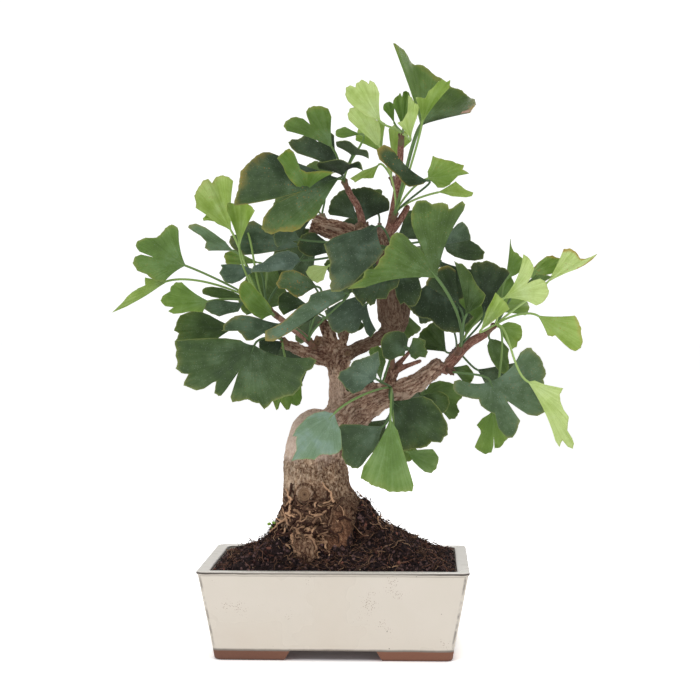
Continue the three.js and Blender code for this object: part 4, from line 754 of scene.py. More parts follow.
            17, -27, 12, -31, 7, -37, 1, -38, 2, -22, 0, -35, -2, -42, -8, -44, -15, -41, -19, -37,
            -16, -30, -12, -24, -13, -20, -17, -15, -11, -8], tone=0.55),
    ]},
    "leaves_right_low": {"slot": "leaf_dark", "foot": [84, -11, 216], "tip": [89, -22, 214], "leaves": [
        lobed([118, -25, 207], [135, -48, 173], [
            -9, -1, -21, 1, -31, 2, -37, 0, -38, -7, -34, -12, -27, -15, -19, -17, -12, -18, -10, -24,
            -3, -29, 5, -33, 6, -39, 8, -47, 13, -53, 17, -57, 22, -57, 26, -51, 28, -44, 30, -39, 24, -31,
            20, -25, 16, -19, 22, -23, 29, -28, 37, -33, 46, -34, 54, -31, 55, -19, 54, -4, 53, 2, 56, 8,
            53, 15, 50, 23, 46, 28, 41, 34, 37, 34, 30, 29, 24, 22, 18, 15, 12, 8], tone=0.25, gold=0.2,
            bloom=0.35, cup=0.04),
    ]},
    "leaves_low_centre": {"slot": "leaf_mid", "foot": [40, -8, 197], "tip": [42, -21, 201], "leaves": [
        lobed([2, -78, 186], [-20, -69, 146], [
            6, -17, 7, -29, 7, -36, 3, -40, -5, -42, -15, -42, -20, -46, -27, -45, -35, -46, -43, -48,
            -41, -43, -38, -37, -39, -30, -38, -24, -42, -23, -38, -15, -33, -10, -27, -4, -20, 0, -10, 2],
            tone=0.46, bloom=1.25, bend=34),
        lobed([37, -60, 175], [8, -64, 151], [
            -4, -15, -9, -24, -15, -31, -20, -38, -25, -42, -31, -42, -38, -37, -41, -29, -41, -23,
            -43, -14, -46, -6, -45, -1, -41, 2, -33, 2, -23, 2, -15, 0], tone=0.16, bloom=0.2),
        lobed([43, -74, 182], [40, -90, 130], [
            7, -12, 14, -37, 19, -47, 22, -58, 24, -67, 22, -73, 15, -74, 7, -74, -1, -73, -7, -70,
            -19, -67, -24, -63, -30, -60, -27, -48, -19, -39, -10, -27, -6, -12], tone=0.52, bloom=0.15),
        lobed([43, -38, 193], [74, -65, 164], [
            16, -1, 23, 3, 33, 4, 40, 1, 49, -10, 56, -24, 56, -34, 52, -37, 49, -42, 40, -41, 36, -47,
            30, -48, 20, -48, 7, -51, 2, -39], tone=0.12),
        lobed([54, -41, 155], [78, -45, 147], [
            9, 1, 19, 2, 27, 2, 33, -6, 30, -17, 25, -22, 19, -21, 14, -17, 7, -10], tone=0.56, bloom=0.3),
        lobed([32, -55, 210], [8, -71, 223], [
            -14, -11, -24, -15, -31, -9, -34, -4, -38, 1, -36, 7, -30, 10, -26, 13, -23, 18, -16, 20,
            -6, 24, 2, 28, 4, 15], tone=0.1, bloom=0.35),
    ]},
    "leaves_stub": {"slot": "leaf_dark", "foot": [43, -8, 214], "tip": [43, -15, 226], "leaves": [
        lobed([55, -36, 233], [36, -48, 231], [
            -3, -8, -9, -9, -17, -13, -24, -10, -26, -2, -27, 5, -23, 13, -17, 16, -10, 17, -3, 15, 1, 8],
            tone=0.1),
        lobed([55, -26, 231], [72, -30, 231], [
            5, 12, 12, 12, 18, 9, 17, 3, 20, -2, 18, -8, 12, -7, 8, -10, 3, -7]),
        lobed([35, -41, 208], [32, -45, 234], [
            -6, 11, -9, 21, -13, 29, -10, 33, -3, 35, 3, 31, 5, 19], tone=0.3),
    ]},
    "leaves_low_right": {"slot": "leaf_mid", "foot": [71, -4, 212], "tip": [74, 10, 208], "leaves": [
        leaf([88, -4, 217], [105, -17, 210], [27, 23], [0.75, 0.86], tone=0.3, roll=20, bend=-8),
        lobed([66, 10, 195], [100, 22, 190], [
            8, 11, 18, 14, 28, 12, 38, 8, 42, 3, 40, -4, 35, -10, 37, -17, 33, -24, 27, -25, 24, -17,
            16, -10], tone=0.35),
        leaf([65, -5, 195], [87, -13, 190], [28, 33], [0.67, 0.82], roll=15),
    ]},
    "leaves_back_left": {"slot": "leaf_dark", "foot": [7, -3, 229], "tip": [0, 30, 246], "leaves": [
        leaf([-38, 46, 267], [-79, 60, 282], [44, 44], [0.83, 0.82], tone=0.3, roll=20, bend=24),
        leaf([-23, 56, 283], [-47, 76, 319], [46, 48], [0.81, 0.79], tone=0.15, roll=-15, bend=24),
        leaf([-19, 44, 229], [-53, 62, 209], [40, 40], [0.81, 0.81], tone=0.1, roll=10, bend=24),
        leaf([3, 52, 270], [9, 74, 304], [42, 44], [0.8, 0.77], tone=0.25, bend=24),
        leaf([-15, 62, 254], [-39, 92, 244], [38, 37], [0.65, 0.67], roll=30, bend=24),
    ]},
    "leaves_back_middle": {"slot": "leaf_dark", "foot": [44, 8, 268], "tip": [39, 36, 278], "leaves": [
        leaf([51, 60, 280], [67, 84, 311], [44, 45], [0.78, 0.77], roll=-20, bend=24),
        leaf([35, 67, 288], [11, 88, 313], [45, 45], [0.78, 0.77], tone=0.1, roll=15, bend=24),
        leaf([46, 56, 264], [48, 80, 236], [40, 40], [0.74, 0.75], tone=0.3, bend=24),
        leaf([57, 76, 272], [84, 101, 259], [38, 38], [0.75, 0.76], tone=0.12, roll=25, bend=24),
    ]},
    "leaves_back_high": {"slot": "leaf_mid", "foot": [35, 4, 314], "tip": [32, 28, 327], "leaves": [
        leaf([31, 40, 337], [21, 54, 355], [38, 38], [0.78, 0.78], bend=24),
        leaf([45, 50, 318], [72, 70, 332], [38, 39], [0.8, 0.78], tone=0.15, roll=-30, bend=24),
        leaf([26, 52, 323], [-1, 72, 329], [34, 33], [0.78, 0.79], tone=0.1, roll=30, bend=24),
    ]},
    "leaves_back_right": {"slot": "leaf_mid", "foot": [83, -8, 218], "tip": [92, 24, 229], "leaves": [
        leaf([101, 44, 242], [106, 60, 275], [44, 43], [0.81, 0.82], tone=0.45, bend=24),
        leaf([90, 58, 248], [80, 84, 280], [44, 44], [0.76, 0.76], roll=20, bend=24),
        leaf([116, 32, 259], [146, 59, 275], [37, 36], [0.76, 0.77], tone=0.6, roll=-20, bend=-8),
        leaf([110, 40, 213], [145, 56, 198], [41, 41], [0.81, 0.83], tone=0.15, roll=15, bend=24),
        leaf([85, 60, 227], [67, 88, 244], [33, 34], [0.75, 0.73], tone=0.3, bend=24),
    ]},
    "leaves_back_low": {"slot": "leaf_dark", "foot": [33, 3, 192], "tip": [42, 34, 190], "leaves": [
        leaf([51, 50, 177], [77, 70, 166], [41, 39], [0.75, 0.8], tone=0.15, roll=20, bend=24),
        leaf([37, 54, 172], [17, 74, 152], [38, 40], [0.78, 0.75], roll=-10, bend=24),
        leaf([43, 75, 167], [44, 87, 133], [40, 39], [0.82, 0.83], tone=0.45, bend=-8),
        leaf([29, 50, 191], [4, 72, 208], [39, 42], [0.8, 0.76], tone=0.1, roll=10, bend=24),
        leaf([50, 66, 194], [67, 96, 186], [28, 25], [0.67, 0.75], roll=30, bend=24),
    ]},
    "leaves_back_top": {"slot": "leaf_light", "foot": [46.5, 0, 353], "tip": [42, 15, 364], "leaves": [
        leaf([34, 26, 385], [21, 38, 408], [36, 36], [0.81, 0.82], tone=0.7, bend=24),
        leaf([43, 34, 379], [48, 52, 406], [24, 25], [0.83, 0.81], tone=0.8, roll=30, bend=24),
        lobed([32, 19, 375], [3, 27, 365], [
            -6, -8, -16, -6, -29, -14, -24, -18, -17, -14, -11, -14, -6, -14], tone=0.8),
    ]},
    "leaves_back_upper_left": {"slot": "leaf_dark", "foot": [-5, 5, 324], "tip": [-13, 26, 335], "leaves": [
        leaf([-25, 38, 345], [-52, 54, 352], [39, 38], [0.78, 0.8], roll=20, bend=24),
        leaf([-23, 48, 334], [-48, 68, 329], [36, 33], [0.75, 0.79], tone=0.1, roll=-20, bend=24),
        leaf([-12, 38, 351], [-23, 52, 379], [40, 41], [0.82, 0.8], tone=0.25, bend=24),
    ]},
}
leafShape = {
    "thickness": 0.42,
    "rows": 15,
    "columnGap": 0.95,  # mm at the outer edge
    "scallop": 3.4,  # mm from one shallow lobe to the next
    "scallopDepth": 0.75,
    "fine": 0.3,
    "broad": 0.42,
    "fullSize": 34,  # mm long, from where on lobes and ruffles have their full depth
    "outlined": 0.7,  # less of them where the outline is drawn
    "point": 2.2,  # how late the fan shortens towards its sides
    "ruffle": 1.3,
    "fade": 0.07,  # how much lighter the outer edge is than the foot, painted light and shade along the blade
    "stalkRadius": 0.8,
    "budRadius": 2.3,
    "budScales": 5,
}


# where the eye sees points, in steps, and how many mm one step is there
def seenAt(points):
    turned, tipped = math.radians(eye["turned"]), math.radians(eye["tipped"])
    right = np.array([math.cos(turned), math.sin(turned), 0])
    forward = unit(np.array([-math.sin(turned), math.cos(turned), -math.tan(tipped)]))
    line = points - eye["at"]
    scale = eye["steps"] / (line @ forward)
    return np.stack([line @ right * scale, line @ np.cross(right, forward) * scale], axis=-1), 1 / scale


def spreadOf(angles):
    return (angles.min() + angles.max()) / 2, (angles.max() - angles.min()) / 2


class Blade:
    def __init__(self, row, seed):
        self.row, self.own = row, (seed % 97) / 97
        line = row["end"] - row["base"]
        length = np.linalg.norm(line)
        along = line / length
        facing = unit(np.array([0, -1.0, 0]) + along * along[1])
        roll = math.radians(row["roll"])
        facing = facing * math.cos(roll) + np.cross(along, facing) * math.sin(roll)
        self.along, self.across = along, np.cross(along, facing)
        half = math.radians(row["bend"]) / 2
        self.bend = 2 * half
        self.out = along * math.cos(half) - facing * math.sin(half)
        self.up = along * math.sin(half) + facing * math.cos(half)
        self.arc = length * half / math.sin(half)
        self.size = min(1, self.arc / leafShape["fullSize"])
        self.left, self.right = (math.radians(a) for a in row["fan"])
        self.knots = None
        if row["rim"] is not None:
            self.knots = self.rimKnots(row["rim"])
            self.middle, self.half = spreadOf(self.knots[:, 0])
        chance = random.Random(seed)
        self.phase = [chance.uniform(0, 9) for _ in range(6)]

    # the point at an angle and distance from the leaf's foot, on the cupped and bent blade
    def spot(self, angle, reach, u, lift=0):
        fold = self.row["cup"] * np.abs(u) * math.pi / 2
        share = np.maximum(reach, 1e-4) / self.arc
        turn = share * self.bend
        ray = (np.cos(angle)[..., None] * self.out
               + (np.sin(angle) * np.cos(fold))[..., None] * self.across
               + (np.abs(np.sin(angle)) * np.sin(fold))[..., None] * self.up)
        wave = 0.03 * self.arc * share ** 2 * np.sin(2.6 * math.pi * u + self.row["base"][0]) + lift
        sag = self.arc * (1 - np.cos(turn)) / self.bend
        return (self.row["base"] + ray * (reach * np.sin(turn) / turn)[..., None]
                + self.up * (sag + wave)[..., None])

    # angle and reach of every corner of the outline, so that the eye sees it there
    def rimKnots(self, rim):
        home, step = seenAt(self.row["base"])
        look = np.stack([seenAt(self.row["base"] + side * step)[0] - home
                         for side in (self.across, self.along)])
        flat = np.linalg.inv(look) * step
        spots = rim @ flat
        for _ in range(8):
            turns = np.arctan2(spots[:, 0], spots[:, 1])
            middle, half = spreadOf(turns)
            u = (turns - middle) / half
            seen = seenAt(self.spot(turns, np.hypot(*spots.T), u))[0]
            spots = spots + 0.8 * (rim - seen + home) @ flat
        knots = np.stack([np.arctan2(spots[:, 0], spots[:, 1]), np.hypot(*spots.T)], axis=1)
        if knots[0, 0] > knots[-1, 0]:
            knots = knots[::-1].copy()
        centre = len(knots) // 2
        angles = knots[:, 0]
        knots = knots[angles[:centre].argmin():len(angles) - angles[:centre - 1:-1].argmax()].copy()
        for n in range(1, len(knots)):
            knots[n, 0] = max(knots[n, 0], knots[n - 1, 0] + 0.01)
        return knots

    def angleAt(self, u):
        if self.knots is not None:
            return self.middle + self.half * u
        return 0.5 * (self.left + self.right) * u + 0.5 * (self.right - self.left) * u * u

    # distance to the edge as a share of the length
    def reachAt(self, u):
        if self.knots is not None:
            turns, reaches = self.knots.T
            angle = np.clip(self.angleAt(u), turns[0], turns[-1])
            after = np.clip(np.searchsorted(turns, angle), 1, len(turns) - 1)
            a, b, p, q = turns[after - 1], turns[after], reaches[after - 1], reaches[after]
            return p * q * np.sin(b - a) / (p * np.sin(angle - a) + q * np.sin(b - angle)) / self.arc
        side = np.where(u < 0, *self.row["side"])
        return 1 - (1 - side) * np.abs(u) ** leafShape["point"]

    # shallow lobes and small nicks of the outer edge, in mm
    def edgeWork(self, u):
        look, p = leafShape, self.phase
        s = self.angleAt(u) * self.arc
        drift = 0.9 * np.sin(s / 5.3 + p[0]) + 0.7 * np.sin(s / 9.1 + p[1])
        lobes = np.abs(np.sin(math.pi * s / look["scallop"] / 1.6 + drift))
        fine = np.abs(np.sin(math.pi * s / look["scallop"] * 1.7 + 2 * drift + p[2]))
        broad = np.sin(s / 6.5 + p[3]) + 0.7 * np.sin(s / 3.7 + p[4])
        depth = self.size * (1 if self.knots is None else look["outlined"])
        work = look["scallopDepth"] * (lobes - 0.7) + look["fine"] * (fine - 0.6) + look["broad"] * broad
        return depth * work

    # grid of points for places u across the fan and r along it; edge: whose reach they have
    def points(self, u, r, edge=None):
        u, r = np.asarray(u, float)[None, :], np.asarray(r, float)[:, None]
        edge = u if edge is None else edge[None, :]
        p = self.phase
        share = self.reachAt(edge)
        reach = self.arc * r * share + self.edgeWork(edge) * r ** 7 * np.minimum(share, 1)
        middle = self.angleAt(0)
        angle = middle + (self.angleAt(u) - middle) * (1 - self.row["flare"] * (1 - r))
        s = self.angleAt(u) * self.arc
        ruffle = np.sin(s / 2.9 + p[5] + 3 * r) * 0.5 + np.sin(s / 4.6 + p[2]) * 0.6
        lift = leafShape["ruffle"] * self.size * ruffle * (r * np.minimum(share, 1)) ** 4
        lift = lift + 0.13 * np.sin(s * r * 2.1 + p[1]) * r * (1 - r ** 6)
        return self.spot(angle, reach, u, lift)


def addBlade(skin, blade):
    row, look = blade.row, leafShape
    width = (blade.angleAt(1) - blade.angleAt(-1)) * blade.arc
    places = list(np.linspace(-1, 1, int(max(25, min(110, width / look["columnGap"])))))
    corners = [-1, 1]
    if blade.knots is not None:
        corners = list((blade.knots[:, 0] - blade.middle) / blade.half)
    places = [p for p in places if abs(p) < 0.995 and min(abs(p - c) for c in corners) > 0.005]
    u = [-1]
    for place in sorted(places + corners):
        if place - u[-1] > 0.004:
            u.append(place)
    u = np.array(u)
    r = np.concatenate([[0.015, 0.045, 0.09, 0.15], np.linspace(0.23, 0.93, look["rows"] - 7),
                        [0.965, 0.985, 1]])
    middle = blade.points(u, r)
    tiny = 1e-3
    alongU = blade.points(u + tiny, r, u) - blade.points(u - tiny, r, u)
    alongR = blade.points(u, r, u) - blade.points(u, r - tiny, u)
    normal = np.cross(alongU, alongR)
    normal /= np.maximum(np.linalg.norm(normal, axis=2), 1e-9)[..., None]
    half = (look["thickness"] / 2 + 0.5 * np.exp(-(r / 0.09) ** 2))[:, None, None]
    top, under = middle + normal * half, middle - normal * half
    faces, border = gridFaces(len(r), len(u))
    below = len(r) * len(u)
    faces += [[v + below for v in reversed(face)] for face in faces]
    faces += [[a, a + below, b + below, b] for a, b in zip(border, border[1:] + border[:1])]
    s = blade.angleAt(u) * blade.arc / 100 + 0.5
    uv = np.stack(np.broadcast_arrays(s[None, :], r[:, None]), axis=2).reshape(-1, 2)
    # painted light and shade: one side of the blade lighter than the other, and the outer edge lighter than
    # the foot
    tone = row["tone"] + row["turned"] * u[None, :] + look["fade"] * (r[:, None] ** 2 - 0.4)
    gold = np.full((len(r), len(u)), row["gold"])
    if row["stain"]:
        at, out, size = row["stain"]
        gold += 2 * np.exp(-((u[None, :] - at) / size) ** 2 - ((r[:, None] - out) / size) ** 2)
    skin.add(np.concatenate([top.reshape(-1, 3), under.reshape(-1, 3)]), faces, np.concatenate([uv, uv]),
             tone=np.tile(tone.ravel(), 2), gold=np.tile(gold.ravel(), 2), bloom=row["bloom"], stem=0,
             own=blade.own)


def addStalk(skin, blade, foot, tip):
    row = blade.row
    start = unit(tip - foot)
    arrive = unit(blade.points([0], [0.5])[0, 0] - row["base"])
    leap = np.linalg.norm(row["base"] - tip)
    a, d = tip - 1.5 * start, row["base"]
    b, c = tip + start * leap * 0.27, d - arrive * leap * 0.27
    t = np.linspace(0, 1, max(8, int(leap / 3)))[:, None]
    line = a * (1 - t) ** 3 + 3 * b * t * (1 - t) ** 2 + 3 * c * t * t * (1 - t) + d * t ** 3
    onBlade = blade.points([0], [0.03, 0.07, 0.12, 0.17])[:, 0]
    line = np.concatenate([line, onBlade])
    radius = leafShape["stalkRadius"] * row["stalk"]
    share = np.linspace(0, 1, len(t))
    radii = radius * (1 + 0.35 * np.exp(-(share / 0.08) ** 2) + 0.12 * share)
    radii = np.concatenate([radii, radius * np.array([0.95, 0.75, 0.5, 0.22])])
    points, faces = tube(line, radii, 8, start=blade.across)
    skin.add(points, faces, tone=row["tone"], gold=0, bloom=0, stem=1, own=blade.own)


# a short ringed spur with a few scales at its tip
def addBud(skin, foot, tip):
    foot, tip = np.array(foot, float), np.array(tip, float)
    long = np.linalg.norm(tip - foot)
    steps = max(8, int(long / 0.8))
    share = np.linspace(0, 1, steps)
    line = foot + (tip - foot) * share[:, None]
    rings = 0.13 * np.abs(np.sin(share * long * 1.5)) + 0.1 * np.sin(share * long * 0.5 + foot[0])
    radii = leafShape["budRadius"] * (0.86 + rings + 0.1 * share)
    radii[-2:] *= (0.85, 0.6)
    skin.add(*tube(line, radii, 12), paint=1)
    along = unit(tip - foot)
    across = unit(np.cross(along, [0.2, 1, 0.3]))
    third = np.cross(along, across)
    for k in range(leafShape["budScales"]):
        turn = k * 2.4 + foot[2]
        side = across * math.cos(turn) + third * math.sin(turn)
        root = tip - along * (1.5 - 0.2 * k) + side * 1.6
        line = np.array([root, root + along * 1.6 + side * 0.5, root + along * 3 + side * 0.1])
        skin.add(*tube(line, [1.1, 0.9, 0.25], 6), paint=1)


leafMaterial = makeLeafMaterial()
twigMaterial = makeTwigMaterial()


def makeSprays():
    for number, (name, spray) in enumerate(sprays.items()):
        skin = Skin("tone", "gold", "bloom", "stem", "own")
        foot, tip = np.array(spray["foot"], float), np.array(spray["tip"], float)
        for order, row in enumerate(spray["leaves"]):
            blade = Blade(row, 1 + 31 * number + 7 * order)
            addBlade(skin, blade)
            addStalk(skin, blade, foot, tip)
        addBud(skin, foot, tip)
        dress(skin.piece(name + "_shoot", [leafMaterial, twigMaterial], sharpAt=55), spray["slot"], name)
    print("leaves:", sum(len(s["leaves"]) for s in sprays.values()))


makeSprays()


pot = {
    "rim": (202, 150),
    "table": (178, 125),
    "height": 68,
    "wall": 9,
    "corner": 6,
    "cornerSteps": 9,
    "sideGap": 7,
    "wobble": 0.22,
    "wobbleSize": 38,
    "footHeight": 7.5,
    "footWall": 13,
    "gapLong": (64.5, 72.5),  # top and bottom, between the feet
    "gapShort": (42, 50),
    "hole": 8,
    "holeSpacing": 84,
    "holeSides": 24,
    "softEdge": 0.5,
    "clayTop": (7.1, 7.45),  # where the glaze ends above the feet
    "footLine": (7.8, 9.6),
    "band": 65.1,  # foot of the rim band, where shade is painted in the crease
    "line": 66.9,  # the dark line along the rim: glaze break and painted shade under the lip
    # heights of the rim's flat top, painted lighter as if lit from above
    "rimTop": (67.3, 67.8),
}
# height and how far in from the outside, up the wall, over the rim and down the inside
potProfile = [(0, 1.1), (0.4, 0.35), (1.2, 0), (4, 0), (7.5, 0), (14, 0), (22, 0), (30, 0), (38, 0),
              (46, 0), (54, 0), (60, 0), (64.2, 0), (64.8, 0.1), (65.2, -0.25), (65.7, -0.62), (66.4, -0.72),
              (67.1, -0.62), (67.6, -0.3), (67.9, 0.25), (68, 1.1), (68, 3), (68, 5.5), (67.9, 7.4),
              (67.6, 8.4), (67, 8.95), (66, 9.1), (60, 9.1), (48, 9.1), (36, 9.1), (24, 9.1), (18.5, 9.3),
              (16.8, 10.2), (16, 12.2)]


# length and width of the pot's outside at a height
def potSize(z):
    return [low + (high - low) * (z / pot["height"]) for low, high in zip(pot["table"], pot["rim"])]


def potRing(z, inset, corner=None):
    length, width = (size - 2 * inset for size in potSize(z))
    radius = corner if corner is not None else pot["corner"] - 0.22 * max(0, min(9, inset))
    quarters = [(1, 1), (-1, 1), (-1, -1), (1, -1)]

    def onCorner(quarter, turn):
        sx, sy = quarters[quarter % 4]
        return [sx * (length / 2 - radius) + radius * math.cos(turn),
                sy * (width / 2 - radius) + radius * math.sin(turn), z]

    ring = []
    for quarter in range(4):
        ring += [onCorner(quarter, (quarter + k / pot["cornerSteps"]) * math.pi / 2)
                 for k in range(pot["cornerSteps"] + 1)]
        ends = list(zip(ring[-1], onCorner(quarter + 1, (quarter + 1) * math.pi / 2)))[:2]
        steps = int(pot["rim"][quarter % 2] / pot["sideGap"])
        ring += [[a + (b - a) * k / steps for a, b in ends] + [z] for k in range(1, steps)]
    return ring


def loft(rings):
    count = len(rings[0])
    points = [p for ring in rings for p in ring]
    ends = [list(range(count))[::-1], list(range(len(points) - count, len(points)))]
    return points, ringFaces(len(rings), count) + ends


def makePotMesh():
    rings = []
    for z, inset in potProfile:
        ring = potRing(z, inset)
        for p in ring:
            where = Vector((p[0] / pot["wobbleSize"], p[1] / pot["wobbleSize"], z / 30))
            p[0] += pot["wobble"] * noise.noise(where)
            p[1] += pot["wobble"] * noise.noise(where + Vector((9, 4, 2)))
            if inset > -0.5 and z > 67:
                p[2] += 0.16 * noise.noise(where * 1.6)
        rings.append(ring)
    piece = makePiece("glazed_pot", *loft(rings))
    wall, high = pot["footWall"], pot["footHeight"]
    cutters = [makePiece("recess", *loft([potRing(-1, wall, 4), potRing(high, wall, 4)]))]
    for (top, bottom), reach, turned in ((pot["gapLong"], 100, False), (pot["gapShort"], 130, True)):
        outline = [(-bottom / 2 - 1, -1), (bottom / 2 + 1, -1), (top / 2, high + 0.01),
                   (-top / 2, high + 0.01)]
        ends = [[[x, s * reach, z] if not turned else [-s * reach, x, z] for x, z in outline]
                for s in (1, -1)]
        cutters.append(makePiece("foot_gap", *loft(ends)))
    for side in (-1, 1):
        turns = [k / pot["holeSides"] * 2 * math.pi for k in range(pot["holeSides"])]
        hole = [[[side * pot["holeSpacing"] / 2 + pot["hole"] * math.cos(t), pot["hole"] * math.sin(t), z]
                 for t in turns] for z in (-5, 30)]
        cutters.append(makePiece("drain_hole", *loft(hole)))
    for cutter in cutters:
        cut = piece.modifiers.new("cut", "BOOLEAN")
        cut.operation, cut.solver, cut.object = "DIFFERENCE", "EXACT", cutter
    edges = piece.modifiers.new("soft edges", "BEVEL")
    edges.width, edges.segments, edges.limit_method = pot["softEdge"] * mm, 2, "ANGLE"
    edges.angle_limit = math.radians(40)
    settle(piece)
    for cutter in cutters:
        bpy.data.meshes.remove(cutter.data)
    piece.data.set_sharp_from_angle(angle=math.radians(38))
    # how near each point is to an upright outer corner, for the worn line there
    co = fromRow(vertexArray(piece.data))
    pastX, pastY = (np.abs(co[:, k]) - (size / 2 - pot["corner"])
                    for k, size in enumerate(potSize(co[:, 2])))
    bearing = np.degrees(np.arctan2(pastY, pastX))
    outside = np.hypot(pastX, pastY) > pot["corner"] - 0.5
    edge = np.where(outside & (bearing > 0) & (bearing < 90), 1 - np.abs(bearing - 45) / 45, 0)
    store(piece.data, "edge", np.clip(edge, 0, 1))
    return piece


def makePotMaterial():
    material, tree = newMaterial("speckled glaze on terracotta")
    where = objectPlace(tree)
    x, _, z = separate(tree, where)
    patches, grain = mottle(tree, 16.0, 1300.0)
    broken, cloudy, soft = (mottle(tree, scale)[0] for scale in (75.0, 34.0, 260.0))
    height = z + (broken - 0.5) * 0.0012
    glaze = ramp(patches, (0.3, 224, 213, 199), (0.52, 226, 217, 204), (0.72, 229, 220, 208))
    # rust specks in loose clusters, and a few larger ones
    specks = between(between(cloudy, 0.51, 0.68) * 0.31 - cells(tree, where, 760.0), 0.0, 0.06)
    glaze = blend(specks * 0.6, glaze, (140, 104, 80))
    few = between(cells(tree, where, 110.0), 0.055, 0.035) * between(cloudy, 0.45, 0.55)
    glaze = blend(few * 0.8, glaze, (96, 72, 58))
    # a dark line under the top edge, glaze break and painted shade under the lip, with painted shade in the
    # crease below it; thin glaze breaks dark on the upright corners and above the feet
    band = between(abs(height - pot["line"] * mm), 0.0010, 0.0005) * between(broken, 0.2, 0.36)
    band = band * (between(abs(x - float(potCentre[0])), 0.04, 0.1) * 0.35 + 0.65)
    # painted shade in the crease at the foot of the rim band
    under = between(abs(height - pot["band"] * mm), 0.0008, 0.0) * 0.35
    foot = between(height, pot["footLine"][1] * mm, pot["footLine"][0] * mm) * 0.8
    corner = between(painted(tree, "edge")[0], 0.6, 0.95) * between(broken, 0.42, 0.6) * 0.7
    thin = band.maths("MAXIMUM", under).maths("MAXIMUM", foot.maths("MAXIMUM", corner))
    glaze = blend(thin * 0.95, glaze, (62, 50, 44))
    # painted light: the flat top of the rim is made near white, as light from above falls on it; a few worn
    # marks over it
    rimTop = between(z, pot["rimTop"][0] * mm, pot["rimTop"][1] * mm)
    glaze = blend(rimTop * 0.85, glaze, (250, 245, 236))
    glaze = blend(rimTop * between(broken, 0.56, 0.7) * 0.2, glaze, (150, 128, 110))
    clay = blend(grain * 0.5, (142, 96, 76), (108, 72, 58))
    clay = blend(between(z, 0.002, 0.0), clay, (96, 68, 58))
    # painted shade: the clay on the left foot is darker
    clay = blend(between(x, 0.0, -0.09) * 0.35, clay, (84, 58, 48))
    bare = between(height, pot["clayTop"][1] * mm, pot["clayTop"][0] * mm)
    return finish(material, blend(bare, glaze, clay), bare * 0.55 + (patches * 0.15 + 0.2),
                  soft * 0.5 + grain * bare - specks, (0.3, 0.4))


potPiece = makePotMesh()
potPiece.data.materials.append(makePotMaterial())
dress(potPiece, "pot", "pot")
print("pot ready:", len(potPiece.data.polygons), "faces")


def makeMeshMaterial():
    material, tree = newMaterial("black plastic")
    patches, grain = mottle(tree, 90.0, 2500.0)
    colour = blend(patches, (30, 32, 36), (48, 50, 54))
    return finish(material, colour, grain * 0.2 + 0.45, grain, (0.2, 0.3))


plastic = makeMeshMaterial()
for side in ("left", "right"):
    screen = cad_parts["drain_mesh_" + side]
    screen.data.materials.clear()
    screen.data.materials.append(plastic)


